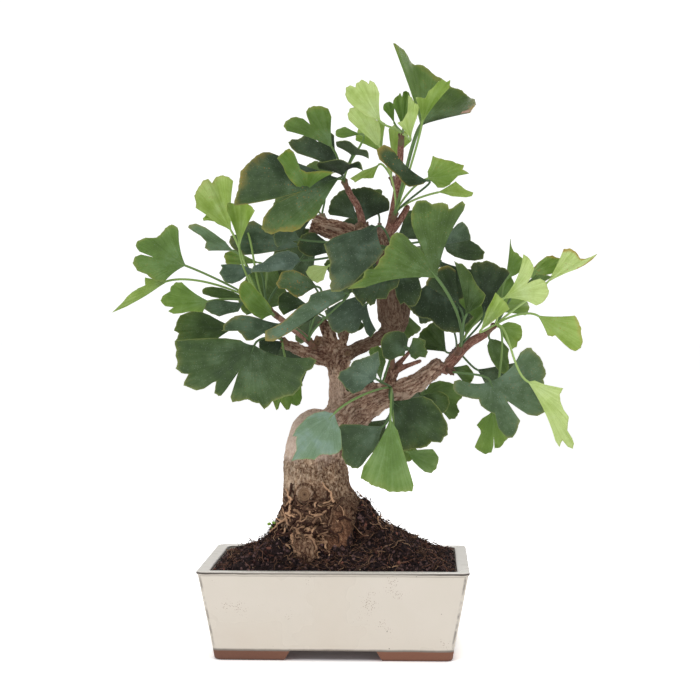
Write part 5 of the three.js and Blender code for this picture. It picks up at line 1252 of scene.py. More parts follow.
# kind: how the bark looks there; cut: the far end is sawn flat
limbs = [
    {"kind": "trunk", "path": [[-12, 0, 52, 30], [-13, 0, 82, 29.5], [-15, 0, 105, 27], [-16, 0, 125, 26],
                               [-18, 0, 144, 23.5], [-20, 0, 164, 19]]},
    {"kind": "shoulder", "path": [[-21, 0, 158, 18], [-17, 0, 168, 17.2], [-8, 0, 172, 13]]},
    {"kind": "limb", "path": [[-14, 0, 146, 21], [-2, 0, 167, 17.5], [8, 0, 179, 15.5], [19, 0, 186, 14]]},
    {"kind": "limb", "cut": True,
     "path": [[14, 0, 184, 14.5], [32, -2, 194, 11.2], [46, -4, 197, 8.2], [58, -6, 203, 7.2],
              [71, -8, 212, 6.6], [81, -10, 221, 5.6]]},
    {"kind": "young", "path": [[82, -10, 214, 4.6], [91, -11, 224, 3.9], [100, -12, 234, 3.5],
                               [109, -12, 240, 3.3], [115, -12, 243, 2.8]]},
    {"kind": "neck", "path": [[4, 0, 179, 13], [1, -2, 193, 7.4], [0, -4, 205, 6.3], [1, -6, 216, 7.8]]},
    {"kind": "burl", "path": [[1, -6, 214, 7.6], [1, -7, 226, 9.8], [1, -7, 232, 7.5]]},
    {"kind": "knot", "cut": True, "path": [[1, -7, 228, 6.5], [-5, -8, 240, 4.8], [-11, -9, 253, 3.6]]},
    {"kind": "knot", "path": [[4, -8, 232, 3.4], [8, -8, 245, 2]]},
    {"kind": "stub", "cut": True,
     "path": [[0, -8, 222, 7], [-16, -12, 226, 5.2], [-28, -15, 230, 4], [-40, -18, 236, 3.3]]},
    {"kind": "young", "path": [[-6, -10, 226, 3.6], [-14, -12, 231, 3.1], [-24, -14, 240, 2.7],
                               [-36, -14, 249, 2.5], [-45, -13, 256, 2.3]]},
    {"kind": "upper", "path": [[4, -5, 225, 6.4], [18, 0, 232, 5.2], [29, 2, 237, 5], [42, 3, 244, 6.6]]},
    {"kind": "upper", "path": [[42, 3, 241, 6], [44, 3, 249, 10.2], [44, 3, 261, 12.8], [43, 3, 277, 12.5],
                               [42, 2, 292, 11.7], [39, 1, 306, 10.2], [34, 0, 316, 8]]},
    {"kind": "stub", "cut": True,
     "path": [[36, 0, 312, 8.2], [22, 2, 317, 7.5], [2, 4, 322, 7.2], [-20, 5, 328.5, 6.7]]},
    {"kind": "knot", "cut": True, "path": [[22, 0, 317, 4.8], [18, -6, 326, 4]]},
    {"kind": "young",
     "path": [[22, -1, 320, 3.4], [16, -2, 341, 2.6], [11, -2, 349, 2.3], [8, -3, 356, 2.2]]},
    {"kind": "young", "path": [[36, 0, 314, 5.4], [41, 0, 324, 3.9], [43, 0, 335, 3], [47, 0, 358, 2.7],
                               [49, 0, 381, 2.5], [49.5, 0, 391, 2.3]]},
    {"kind": "young", "path": [[43, -1, 322, 2.8], [51, -4, 334, 2.5], [55, -5, 341, 2.2]]},
    {"kind": "knot", "cut": True, "path": [[37, -3, 194, 6], [41, -6, 207, 4.9], [44, -8, 216, 4.4]]},
    {"kind": "young", "path": [[43, -8, 213, 2.6], [54, -10, 218, 1.9], [65, -12, 222, 1.5]]},
    {"kind": "young", "path": [[44, -8, 215, 2.2], [52, -6, 224, 1.7], [58, -4, 231, 1.4]]},
    {"kind": "root", "path": [[-4, 0, 120, 14], [8, -3, 104, 14], [20, -5, 90, 12], [36, -7, 72, 9]]},
    {"kind": "amber", "path": [[-8, -8, 116, 14], [-2, -18, 97, 13], [3, -27, 82, 11], [6, -34, 66, 8]]},
    {"kind": "root",
     "path": [[-24, 0, 112, 13], [-36, -2, 98, 10.5], [-46, -4, 84, 7.5], [-54, -5, 72, 5]]},
    {"kind": "root", "path": [[-14, 8, 116, 14], [-16, 22, 96, 11.5], [-20, 34, 76, 8]]},
    {"kind": "knob", "path": [[-20, -16, 92, 8], [-26, -27, 85, 9], [-23, -37, 78, 9], [-20, -44, 71, 8]]},
    {"kind": "bare",
     "path": [[-38, -10, 106, 2.4], [-28, -25, 99, 2.6], [-14, -29, 101, 2.2], [-6, -24, 107, 1.8]]},
    {"kind": "bare",
     "path": [[-36, -12, 96, 2.2], [-24, -28, 90, 2.6], [-10, -31, 94, 2.3], [2, -28, 98, 1.8]]},
    {"kind": "scar", "cut": True, "path": [[-22, -16, 120, 7], [-24, -25.2, 120, 6.6]]},
    {"kind": "stub", "cut": True, "path": [[-10, -10, 234, 5], [-14, -20, 237, 4]]},
    {"kind": "stub", "cut": True, "path": [[6, -12, 226, 4.2], [9, -19, 228, 3]]},
]
# depth in mm of flakes, of lengthwise ridges, of broad lumps and of fine grain, then how far the
# colour is that of smooth, young, amber or dark bark; on the upper trunk the dark is painted shade under the
# crown
barkKinds = {
    "trunk": (0.6, 0.2, 0.9, 0.4, 0, 0, 0, 0),
    "shoulder": (0, 0.05, 0.5, 0.06, 1, 0, 0, 0),
    "limb": (0.35, 1.1, 0.7, 0.25, 0.25, 0.4, 0, 0.05),
    "knot": (0.5, 0.7, 0.7, 0.35, 0, 0.35, 0, 0.3),
    "neck": (0.15, 0.5, 0.7, 0.2, 0.6, 0.1, 0, 0),
    "burl": (0.5, 0.8, 1.7, 0.5, 0.15, 0.35, 0.05, 0),
    "stub": (0.4, 1.1, 1.2, 0.35, 0, 0.5, 0, 0.2),
    "scar": (0.2, 0.1, 0.2, 0.15, 0.1, 0, 0.35, 0),
    # upper: dark bark that is mostly painted shade under the crown
    "upper": (0.1, 0.6, 0.5, 0.2, 0.1, 0.1, 0.1, 0.85),
    "young": (0, 0.14, 0.15, 0.06, 0.2, 1, 0, 0),
    "root": (0.6, 0.6, 1.0, 0.4, 0, 0, 0.2, 0.4),
    "amber": (0.15, 0.4, 0.8, 0.25, 0.1, 0, 1, 0),
    "bare": (0.1, 0.3, 0.3, 0.2, 0.1, 0, 0.5, 0),
    "knob": (0.2, 1.5, 1.4, 0.4, 0, 0, 0.7, 0.3),
}
barkTraits = ("flakes", "ridges", "lumps", "fine", "smooth", "young", "amber", "dark")
bark = {
    "voxel": 0.9,
    "smoothing": 14,
    "sides": 24,
    "reach": 1.6,  # how far the looks of two limbs run into each other
    "ridgeGap": 2.1,
    "stretch": 5.0,  # how much longer than wide the grain is
    "bulk": 4.0,  # what the soil cover adds on the right flare
    "buried": (58, 66),  # heights between which the relief fades into the soil
    "healed": (144, 153, 181, 190),  # heights of the smooth healed bark: begins, full, fades, ends
    "healedSide": (-4, 8),
    "hollowAcross": (-44, -38, -6, 2),  # painted shade in the hollows behind the bare roots
    "hollowHeight": (84, 90, 112, 120),
    "hollowShade": 0.6,
    "flare": (14, 22, 40, 56),  # where the right flare is bulky
    "ambering": 0.55,
}
sawn = {"depth": 0.9, "rings": 22, "lip": 0.7, "lipAt": 0.92}
# how high soil and fibres climb the wood at each x, in front and behind
soilCover = {
    "x": [-62, -52, -45, -39, -34, -14, -8, -2, 8, 14, 19, 32, 60],
    "front": [100, 99, 98, 88, 63, 61, 74, 80, 82, 95, 118, 118, 98],
    "behind": 93,
}


def growWood():
    skin = Skin()
    for limb in limbs:
        line = smoothPath(limb["path"])
        points, faces = tube(line[:, :3], line[:, 3], bark["sides"])
        if limb.get("cut"):
            points[-1] = line[-1, :3] + directions(line[:, :3])[-1] * 0.2
        skin.add(points, faces)
    rough = skin.piece("wood_grown", [])
    remesh = rough.modifiers.new("join", "REMESH")
    remesh.mode, remesh.voxel_size = "VOXEL", bark["voxel"] * mm
    return settle(rough)


# centre, radius, arc length, limb number and direction of every sample along the limbs
def sampleLimbs():
    rows = []
    for number, limb in enumerate(limbs):
        line = smoothPath(limb["path"])
        steps = np.linalg.norm(np.diff(line[:, :3], axis=0), axis=1)
        arc = np.concatenate([[0], np.cumsum(steps)])
        rows.append(np.column_stack([line, arc, np.full(len(line), number), directions(line[:, :3])]))
    return np.concatenate(rows)


# 0 where bark is bare and 1 where soil covers it
def coverAt(co):
    front = np.interp(co[:, 0], soilCover["x"], soilCover["front"])
    top = np.where(co[:, 1] > 4, np.minimum(front, soilCover["behind"]), front)
    return smoothStep(2.5, -2.5, co[:, 2] - top + 6 * lumpsAt(co, (5, 5, 4), (2, 2, 2)))


# joints between limbs are rounded off, thin twigs keep their thickness
def roundJoints(mesh, co, local):
    edges = np.zeros(len(mesh.edges) * 2, np.int32)
    mesh.edges.foreach_get("vertices", edges)
    a, b = edges.reshape(-1, 2).T
    count = np.bincount(a, minlength=len(co)) + np.bincount(b, minlength=len(co))
    pull = np.clip((local - 2) / 7, 0.2, 0.6)[:, None]
    for _ in range(bark["smoothing"]):
        mean = np.column_stack([np.bincount(a, co[b, k], len(co)) + np.bincount(b, co[a, k], len(co))
                                for k in range(3)]) / count[:, None]
        co += (mean - co) * pull
    mesh.vertices.foreach_set("co", toRow(co).ravel())
    mesh.update()
    normal = vertexArray(mesh, "normal")
    co += normal * (0.25 * smoothStep(6, 2, local))[:, None]
    return normal


# sawn ends: a raised lip of bark round a slightly sunken face with rings
def sawEnds(co, push, relief):
    face, ringed = np.zeros(len(co)), np.zeros(len(co))
    for limb in limbs:
        if not limb.get("cut"):
            continue
        line = smoothPath(limb["path"])
        end, radius, direction = line[-1, :3], line[-1, 3], directions(line[:, :3])[-1]
        away = co - end
        ahead = away @ direction
        aside = np.linalg.norm(away - ahead[:, None] * direction, axis=1) / radius
        near = smoothStep(-1.6, -0.4, ahead) * smoothStep(3, 2, np.abs(ahead))
        near = near * smoothStep(1.15, 0.95, aside)
        inner = near * smoothStep(0.86, 0.66, aside)
        push = push * (1 - inner) + inner * (0.15 * np.sin(aside * sawn["rings"]) - sawn["depth"])
        push += near * sawn["lip"] * np.exp(-((aside - sawn["lipAt"]) / 0.12) ** 2)
        if limb["kind"] == "scar":
            ring = smoothStep(-4, -1, ahead) * np.exp(-((aside - 1.25) / 0.1) ** 2)
            push -= 1.6 * ring
            relief = relief - 2.0 * ring
        face = np.maximum(face, inner)
        ringed = np.where(inner > 0.05, aside, ringed)
    return push, relief, face, ringed


def shapeBark(piece):
    mesh = piece.data
    co = fromRow(vertexArray(mesh))
    samples = sampleLimbs()
    table = np.array([barkKinds[limb["kind"]] for limb in limbs])
    nearest, local = np.zeros(len(co), int), np.zeros(len(co))
    mixed = np.zeros((len(co), len(barkTraits)))
    for first in range(0, len(co), 4000):
        some = slice(first, first + 4000)
        apart = np.linalg.norm(co[some, None, :] - samples[None, :, :3], axis=2) - samples[None, :, 3]
        weight = np.exp(-(apart - apart.min(axis=1)[:, None]) / bark["reach"])
        weight /= weight.sum(axis=1)[:, None]
        nearest[some] = apart.argmin(axis=1)
        mixed[some] = weight @ table[samples[:, 5].astype(int)]
        local[some] = weight @ samples[:, 3]
    normal = roundJoints(mesh, co, local)

    flakes, ridges, lumps, fine, smooth, young, amber, dark = mixed.T
    across, front, height = co.T
    offset = co - samples[nearest, :3]
    along = samples[nearest, 6:9]
    ahead = np.einsum("ij,ij->i", offset, along)
    offset = offset - along * ahead[:, None]
    # the healed bark has no flakes, and its colour ends unevenly
    foot, full, fading, top = bark["healed"]
    inner, outer = bark["healedSide"]
    healed = within(*bark["healed"], height) * smoothStep(outer, inner, across)
    flakes, fine = flakes * (1 - healed), fine * (1 - 0.8 * healed)
    uneven = lumpsAt(co, (8, 8, 6), (3, 3, 3))
    pale = smoothStep(foot - 3, full + 1, height + 9 * uneven) * smoothStep(top, fading, height)
    smooth = np.maximum(smooth, pale * smoothStep(outer + 2, inner - 2, across + 5 * uneven))
    # painted shade: the bark is darkened in the hollows behind the bare roots
    behind = (within(*bark["hollowAcross"], across) * within(*bark["hollowHeight"], height)
              * smoothStep(-6, -12, front))
    dark = np.maximum(dark, bark["hollowShade"] * behind)
    warm = smoothStep(134, 104, height) * smoothStep(-52, -40, across)
    amber = np.maximum(amber, bark["ambering"] * warm)
    cover = coverAt(co)
    bulk = bark["bulk"] * cover * within(*bark["flare"], across)
    # place in the bark's own grain: as it is across a limb, pressed together along it
    arc, limbShift = samples[nearest, 4], 13 * samples[nearest, 5]
    grain = offset + along * ((arc + ahead) / bark["stretch"])[:, None] + limbShift[:, None]
    relief = np.zeros(len(co))
    for k in range(len(co)):
        x, y, z = co[k]
        deep = fine[k] * noise.noise((x / 1.3, y / 1.3, z / 1.6))
        if flakes[k] > 0.04:
            crack = abs(noise.noise((x / 3.1 + 5, y / 3.1, z / 7.5)))
            flake = noise.noise((x / 2.2 + 7, y / 2.2, z / 3.0))
            flake += 0.5 * noise.noise((x / 1.2, y / 1.2 + 3, z / 1.9))
            deep += flakes[k] * (1.1 * flake - 0.5 * max(0, 1 - crack / 0.07))
        if ridges[k] > 0.04:
            deep += ridges[k] * (2.9 * abs(noise.noise(grain[k] / bark["ridgeGap"])) - 0.45)
        relief[k] = deep
    push = lumps * 0.75 * lumpsAt(co, (9, 9, 11), (4.3, 4.3, 4.3)) + relief
    push, relief, face, ringed = sawEnds(co, push, relief)
    buried = smoothStep(bark["buried"][1], bark["buried"][0], height)
    co += normal * ((push + bulk) * (1 - buried))[:, None]
    mesh.vertices.foreach_set("co", toRow(co).ravel())
    for name, values in (("relief", 0.5 + relief * 0.55), ("smooth", smooth), ("young", young),
                         ("amber", amber), ("dark", dark), ("flaky", flakes / 0.6), ("cutFace", face),
                         ("rings", ringed), ("cover", cover)):
        store(mesh, name, np.clip(values, 0, 2))
    layer = mesh.attributes.new("grain", "FLOAT_VECTOR", "POINT")
    layer.data.foreach_set("vector", grain.astype(np.float32).ravel())
    mesh.polygons.foreach_set("use_smooth", [True] * len(mesh.polygons))
    mesh.update()


def makeBarkMaterial(piece):
    material, tree = newMaterial("ginkgo bark")
    relief, smooth, young, amber = painted(tree, "relief", "smooth", "young", "amber")
    cutFace, rings, dark, cover, flaky = painted(tree, "cutFace", "rings", "dark", "cover", "flaky")
    fibre = put(tree, "ShaderNodeAttribute", attribute_name="grain").outputs["Vector"]
    where = objectPlace(tree)
    patches, grain = mottle(tree, 60.0, 650.0)
    fine, dust = mottle(tree, 320.0, 2200.0)
    # small flakes with dark cracks between them, twice as high as wide, bent by a noise that
    # runs from one side of the tree to the other
    co = vertexArray(piece.data)
    low, size = co.min(axis=0), np.ptp(co, axis=0)
    spread = put(tree, "ShaderNodeVectorMath", {0: where, 1: tuple(1 / size), 2: tuple(-low / size)},
                 operation="MULTIPLY_ADD")
    bending = put(tree, "ShaderNodeTexNoise", {"Vector": spread.outputs[0], "Scale": 420.0, "Detail": 2.0})
    bent = put(tree, "ShaderNodeMix", {0: 0.0035, 4: where, 5: bending.outputs["Color"]},
               data_type="VECTOR").outputs[1]
    pressed = put(tree, "ShaderNodeVectorMath", {0: bent, 1: (1, 1, 0.5)}, operation="MULTIPLY").outputs[0]
    flake = {"Scale": 520.0, "Vector": pressed}
    gaps = Value(put(tree, "ShaderNodeTexVoronoi", flake, feature="DISTANCE_TO_EDGE").outputs["Distance"])
    own = separate(tree, put(tree, "ShaderNodeTexVoronoi", flake).outputs["Color"])[0]
    crack = between(gaps, 0.14, 0.02) * (flaky * between(patches, 0.38, 0.56))
    streaks = clouds(tree, fibre, 1.7, 5.0, 0.7)
    # painted light: the trunk's left side is made lighter, where the key light falls
    side = separate(tree, where)[0] - float(potCentre[0])
    level = (relief * 0.6 + 0.2 + (grain - 0.5) * 1.2 + between(side, -0.008, -0.042) * 0.2
             + flaky * ((own - 0.5) * 0.16) + (streaks - 0.5) * 1.4 - crack * 0.2)
    colour = ramp(level, (0.05, 52, 32, 24), (0.28, 120, 86, 64), (0.5, 190, 155, 126),
                  (0.8, 242, 216, 188))
    colour = blend(between(patches, 0.45, 0.7) * 0.25, colour, (160, 126, 106))
    even = ramp(fine * 0.6 + level * 0.4, (0.3, 166, 134, 118), (0.5, 216, 190, 174), (0.7, 236, 216, 202))
    red = ramp(level, (0.15, 66, 34, 30), (0.5, 130, 80, 70), (0.8, 176, 132, 116))
    rusty = ramp(level, (0.15, 50, 28, 20), (0.5, 112, 68, 46), (0.85, 176, 124, 86))
    # the dark share is darker bark, and painted shade under the crown and in the hollows behind the roots
    for share, shade in ((smooth * 0.85, even), (young * 0.85, red), (amber * 0.85, rusty),
                         (dark * 0.75, (58, 38, 30))):
        colour = blend(share, colour, shade)
    ring = (rings * 26.0).maths("SINE") * 0.5 + 0.5
    cutWood = blend(ring * 0.5, (164, 132, 104), (98, 72, 54))
    colour = blend(cutFace, colour, blend(between(rings, 0.3, 0.05), cutWood, (84, 60, 48)))
    # soil covers the foot of the trunk and thins out upwards
    crumbs = ramp(grain, (0.35, 24, 17, 18), (0.5, 46, 33, 32), (0.68, 84, 62, 52))
    colour = blend(between(cover + (fine - 0.5) * 0.5, 0.2, 0.6), colour, crumbs)
    height = (grain + streaks * 0.8 + dust * 0.35 - crack * 0.6) * (smooth * -0.7 + 1.1)
    return finish(material, colour, grain * 0.2 + 0.78 - young * 0.25, height, (0.85, 1.2), 0.22)


wood = growWood()
shapeBark(wood)
wood.data.materials.clear()
wood.data.materials.append(makeBarkMaterial(wood))
dress(wood, "bark", "wood")
print("wood ready:", len(wood.data.polygons), "faces")


soil = {
    "level": 63,
    "heap": 22,  # mound towards the front and back
    "heapEnds": 14,  # extra mound towards the ends
    "spread": 0.66,
    "sharpness": 3,
    "centre": (4, 0),
    "grid": 0.95,
    "crumb": 1.5,
    "gap": 0.6,  # left between the soil and the pot's wall
    "corner": 4,
    "bottom": 18,
    "bottomShare": (0.875, 0.835, 0),
}


def soilHeight(x, y):
    cx, cy = soil["centre"]
    dx, dy = x - cx, y - cy
    turn = np.arctan2(dy, dx)
    reach = np.minimum((pot["rim"][0] / 2 - np.sign(dx) * cx) / np.maximum(np.abs(np.cos(turn)), 1e-6),
                       (pot["rim"][1] / 2 - np.sign(dy) * cy) / np.maximum(np.abs(np.sin(turn)), 1e-6))
    share = np.minimum(np.hypot(dx, dy) / reach, 1)
    heap = soil["heap"] + soil["heapEnds"] * np.cos(turn) ** 2
    lumps = np.sin(0.21 * x + 0.9) * np.cos(0.27 * y) + 0.6 * np.sin(0.43 * y - 0.37 * x)
    mound = np.exp(-(share / soil["spread"]) ** soil["sharpness"])
    return soil["level"] + heap * mound + 1.2 * lumps * (1 - share ** 4)


def makeSoilBed():
    halfLong, halfWide = (size / 2 - pot["wall"] - soil["gap"] for size in pot["rim"])
    gx, gy = np.meshgrid(*(np.linspace(-half, half, int(2 * half / soil["grid"]))
                           for half in (halfLong, halfWide)))
    # corners are drawn in to the pot's rounded ones
    cornerX, cornerY = halfLong - soil["corner"], halfWide - soil["corner"]
    ox, oy = np.abs(gx) - cornerX, np.abs(gy) - cornerY
    both = (ox > 0) & (oy > 0)
    pull = np.where(both, np.maximum(np.maximum(ox, oy), 1e-6) / np.maximum(np.hypot(ox, oy), 1e-6), 1)
    gx = np.where(both, np.sign(gx) * (cornerX + ox * pull), gx)
    gy = np.where(both, np.sign(gy) * (cornerY + oy * pull), gy)
    relief = np.zeros(gx.shape)
    for spot in np.ndindex(gx.shape):
        x, y = gx[spot], gy[spot]
        lump = noise.noise((x / 6.5, y / 6.5, 3)) * 1.3
        clod = 0.5 - noise.voronoi((x / 3.1, y / 3.1, 1))[0][0]
        relief[spot] = lump + clod * soil["crumb"] + noise.noise((x / 1.5, y / 1.5, 8)) * 0.6
    top = np.stack([gx, gy, soilHeight(gx, gy) + relief - 0.4], axis=2).reshape(-1, 3)
    faces, border = gridFaces(*gx.shape)
    bottom = top[border] * np.array(soil["bottomShare"]) + np.array([0, 0, soil["bottom"]])
    count, around = len(top), len(border)
    faces += [[border[(k + 1) % around], border[k], count + k, count + (k + 1) % around]
              for k in range(around)]
    faces.append([count + k for k in range(around)][::-1])
    wallGap = np.minimum(halfLong - np.abs(gx), halfWide - np.abs(gy))
    values = {"relief": relief, "crumbShare": smoothStep(0, 1, wallGap),
              "strandShare": smoothStep(2, 9, wallGap)}
    return makePiece("soil_bed", np.concatenate([top, bottom]), faces, attributes={
        name: np.concatenate([value.ravel(), np.zeros(around)]) for name, value in values.items()})


def makeSoilMaterial():
    material, tree = newMaterial("potting soil")
    _, grain = mottle(tree, 90.0, 700.0)
    bits, dust = mottle(tree, 260.0, 1800.0)
    level = painted(tree, "relief")[0] * 0.13 + 0.32 + (grain - 0.5) * 0.8
    colour = ramp(level, (0.1, 20, 14, 16), (0.4, 44, 31, 32), (0.66, 96, 72, 70))
    colour = blend(between(bits, 0.62, 0.72) * 0.6, colour, (88, 58, 50))
    return finish(material, colour, grain * 0.2 + 0.75, grain + dust * 0.4, (0.9, 1.2), 0.2)


# crumbs and fibres: each takes its own shade between two screen colours
def makeTintedMaterial(name, dark, light, roughness):
    material, tree = newMaterial(name)
    _, grain = mottle(tree, 240.0, 900.0)
    shade = painted(tree, "own")[0] ** 1.6 * 0.85 + (grain - 0.5) * 0.9
    return finish(material, blend(between(shade, 0.0, 1.0), dark, light), grain * 0.2 + roughness, grain,
                  (0.6, 0.8), 0.2)


# what is strewn: the share of each place that allows it, its tilt, how it is bent (size, pull down
# and strength of the noise)
strewnKinds = {
    "crumbs": {"share": "crumbShare", "tilt": 3.1, "noise": 700.0, "down": 0.5, "bend": 0.0018},
    "strands": {"share": "strandShare", "tilt": 0.5, "noise": 230.0, "down": 0.44, "bend": 0.009,
                "thin": 0.00012, "thick": 0.00036},
}


# crumbs or strands strewn over a surface where its own share allows, each in its own size, turn and shade
def scatterTree(name):
    kind = strewnKinds[name]
    tree = bpy.data.node_groups.new(name, "GeometryNodeTree")
    sorts = {"Geometry": "Geometry", "Per square metre": "Float", "Smallest": "Float", "Largest": "Float",
             "Shape": "Vector", "Seed": "Int", "Material": "Material"}
    for label, sort in sorts.items():
        tree.interface.new_socket(label, in_out="INPUT", socket_type="NodeSocket" + sort)
    tree.interface.new_socket("Geometry", in_out="OUTPUT", socket_type="NodeSocketGeometry")
    given, outside = tree.nodes.new("NodeGroupInput").outputs, tree.nodes.new("NodeGroupOutput")

    def made(sort, inputs, output=0, **settings):
        return put(tree, sort, inputs, **settings).outputs[output]

    share = made("GeometryNodeInputNamedAttribute", {"Name": kind["share"]}, data_type="FLOAT")
    density = made("ShaderNodeMath", {0: given["Per square metre"], 1: share}, operation="MULTIPLY")
    spread = put(tree, "GeometryNodeDistributePointsOnFaces", {
        "Mesh": given["Geometry"], "Density": density, "Seed": given["Seed"]}).outputs
    size = made("FunctionNodeRandomValue", {
        2: given["Smallest"], 3: given["Largest"], "Seed": given["Seed"]}, 1, data_type="FLOAT")
    spin = made("FunctionNodeRandomValue", {
        0: (-kind["tilt"], -kind["tilt"], 0), 1: (kind["tilt"], kind["tilt"], 6.28), "Seed": given["Seed"]},
        data_type="FLOAT_VECTOR")
    spin = made("FunctionNodeEulerToRotation", {0: spin})
    turned = made("FunctionNodeRotateRotation", {0: spread["Rotation"], 1: spin}, rotation_space="LOCAL")
    if name == "strands":
        unitShape = made("GeometryNodeCurveQuadraticBezier", {
            "Resolution": 8, "Start": (-0.5, 0, 0), "Middle": (0.05, 0.3, 0.1), "End": (0.5, -0.05, 0.02)})
    else:
        unitShape = made("GeometryNodeMeshIcoSphere", {"Radius": 0.5, "Subdivisions": 1})
    scale = made("ShaderNodeVectorMath", {0: given["Shape"], "Scale": size}, operation="SCALE")
    placed = made("GeometryNodeInstanceOnPoints", {
        "Points": spread[0], "Instance": unitShape, "Rotation": turned, "Scale": scale})
    own = made("FunctionNodeRandomValue", {"Seed": 5}, 1, data_type="FLOAT")
    marked = made("GeometryNodeStoreNamedAttribute", {"Name": "own", "Geometry": placed, "Value": own},
                  data_type="FLOAT", domain="INSTANCE")
    real = made("GeometryNodeRealizeInstances", {0: marked})
    bent = made("ShaderNodeTexNoise", {"Scale": kind["noise"], "Detail": 2.0}, "Color")
    offset = made("ShaderNodeVectorMath", {0: bent, 1: (0.5, 0.5, kind["down"])}, operation="SUBTRACT")
    scaled = made("ShaderNodeVectorMath", {0: offset, "Scale": kind["bend"]}, operation="SCALE")
    last = made("GeometryNodeSetPosition", {"Geometry": real, "Offset": scaled})
    if name == "strands":
        thick = made("FunctionNodeRandomValue", {2: kind["thin"], 3: kind["thick"], "Seed": 3}, 1,
                     data_type="FLOAT")
        wide = made("GeometryNodeSetCurveRadius", {"Curve": last, "Radius": thick})
        ring = made("GeometryNodeCurvePrimitiveCircle", {"Resolution": 4, "Radius": 1.0})
        swept = put(tree, "GeometryNodeCurveToMesh", {
            "Fill Caps": True, "Curve": wide, "Profile Curve": ring})
        if "Scale" in swept.inputs:
            plug(made("GeometryNodeInputRadius", {}), swept.inputs["Scale"])
        last = swept.outputs[0]
    final = made("GeometryNodeRealizeInstances", {0: last})
    final = made("GeometryNodeSetMaterial", {"Geometry": final, "Material": given["Material"]})
    plug(made("GeometryNodeSetShadeSmooth", {"Geometry": final, "Shade Smooth": name == "strands"}),
         outside.inputs[0])
    return tree


# runs a scatter tree over a copy of the ground and keeps what it strews
def scatter(name, ground, tree, **values):
    piece = addObject(name, ground.data.copy())
    modifier = piece.modifiers.new("scatter", "NODES")
    modifier.node_group = tree
    for socket in tree.interface.items_tree:
        if socket.in_out == "INPUT" and socket.name in values:
            modifier[socket.identifier] = values[socket.name]
    return settle(piece)


# the strip of bark that soil covers, as ground to strew over
def makeCoveredGround(wood):
    ground = addObject("covered_bark", wood.data.copy())
    cover = np.zeros(len(ground.data.vertices), np.float32)
    ground.data.attributes["cover"].data.foreach_get("value", cover)
    co = fromRow(vertexArray(ground.data))
    above = co[:, 2] > soilHeight(co[:, 0], co[:, 1]) - 2
    for name in ("crumbShare", "strandShare"):
        store(ground.data, name, np.clip(cover, 0, 1) * above)
    return ground


# roots: where they start, how many, length and thickness in mm, which way they mostly run,
# how far they stand off the ground
rootKinds = [
    {"box": ((-41, 2), (-45, -8), (87, 117)), "count": 190, "long": (8, 26), "thick": (0.4, 1.35),
     "lean": (1, 0, 0.15), "lift": 1.6, "own": (0.0, 1)},
    {"box": ((-41, 2), (-45, -8), (87, 124)), "count": 60, "long": (4, 12), "thick": (0.2, 0.5),
     "lean": (1, 0, 0.5), "lift": 2.0, "own": (0.0, 0.8)},
    {"box": ((-40, 4), (-58, -18), (64, 90)), "count": 70, "long": (8, 24), "thick": (0.35, 1.1),
     "lean": (0.8, -0.3, -0.8), "lift": 0.9, "own": (0.0, 0.9)},
    {"box": ((-62, -36), (-30, 20), (70, 100)), "count": 40, "long": (6, 18), "thick": (0.25, 0.7),
     "lean": (1, 0, 0.6), "lift": 0.8, "own": (0.0, 0.5)},
    {"box": ((14, 66), (-40, 30), (70, 118)), "count": 130, "long": (6, 24), "thick": (0.25, 0.7),
     "lean": (1, 0, -0.5), "lift": 1.8, "own": (0.0, 0.9)},
    {"box": ((-50, 40), (5, 45), (70, 100)), "count": 40, "long": (8, 26), "thick": (0.3, 0.8),
     "lean": (1, 0.6, -0.4), "lift": 0.7, "own": (0.0, 0.8)},
    {"box": ((0, 84), (-60, -20), (60, 90)), "count": 60, "long": (10, 30), "thick": (0.15, 0.45),
     "lean": (1, 0.2, 0), "lift": 0.9, "own": (0.3, 1)},
]
rootStep = 1.6  # mm between the points of a root


def makeRoots(grounds, material):
    chance = random.Random(7)
    points, faces = [], []
    for ground in grounds:
        first = sum(len(part) for part in points)
        points.append(fromRow(vertexArray(ground.data)))
        faces += [[v + first for v in face.vertices] for face in ground.data.polygons]
    points = np.concatenate(points)
    surface = BVHTree.FromPolygons([Vector(p) for p in points], faces)
    skin = Skin("own")
    for kind in rootKinds:
        low, high = np.array(kind["box"]).T
        inside = points[np.all((points > low) & (points < high), axis=1)]
        for _ in range(kind["count"]):
            spot = Vector(inside[chance.randrange(len(inside))])
            lean = Vector(kind["lean"]) * chance.choice((-1, 1))
            way = (lean + Vector([chance.gauss(0, 0.45) for _ in range(3)])).normalized()
            long, thick = chance.uniform(*kind["long"]), chance.uniform(*kind["thick"]) ** 1.3
            lift = thick * 0.6 + chance.uniform(-0.2, 1) * kind["lift"]
            line = []
            for _ in range(int(long / rootStep)):
                found, normal, _, _ = surface.find_nearest(spot)
                spot = found + normal * lift
                line.append(list(spot))
                way = way - normal * way.dot(normal) + Vector([chance.gauss(0, 0.3) for _ in range(3)])
                way.normalize()
                spot = spot + way * rootStep
            line = np.array(line)
            knobbly = 1 + 0.15 * np.sin(np.arange(len(line)) * 1.9)
            radii = thick * np.linspace(1, 0.45, len(line)) * knobbly
            skin.add(*tube(line, radii, 6), own=chance.uniform(*kind["own"]))
    dress(skin.piece("bare_roots", [material]), "soil")


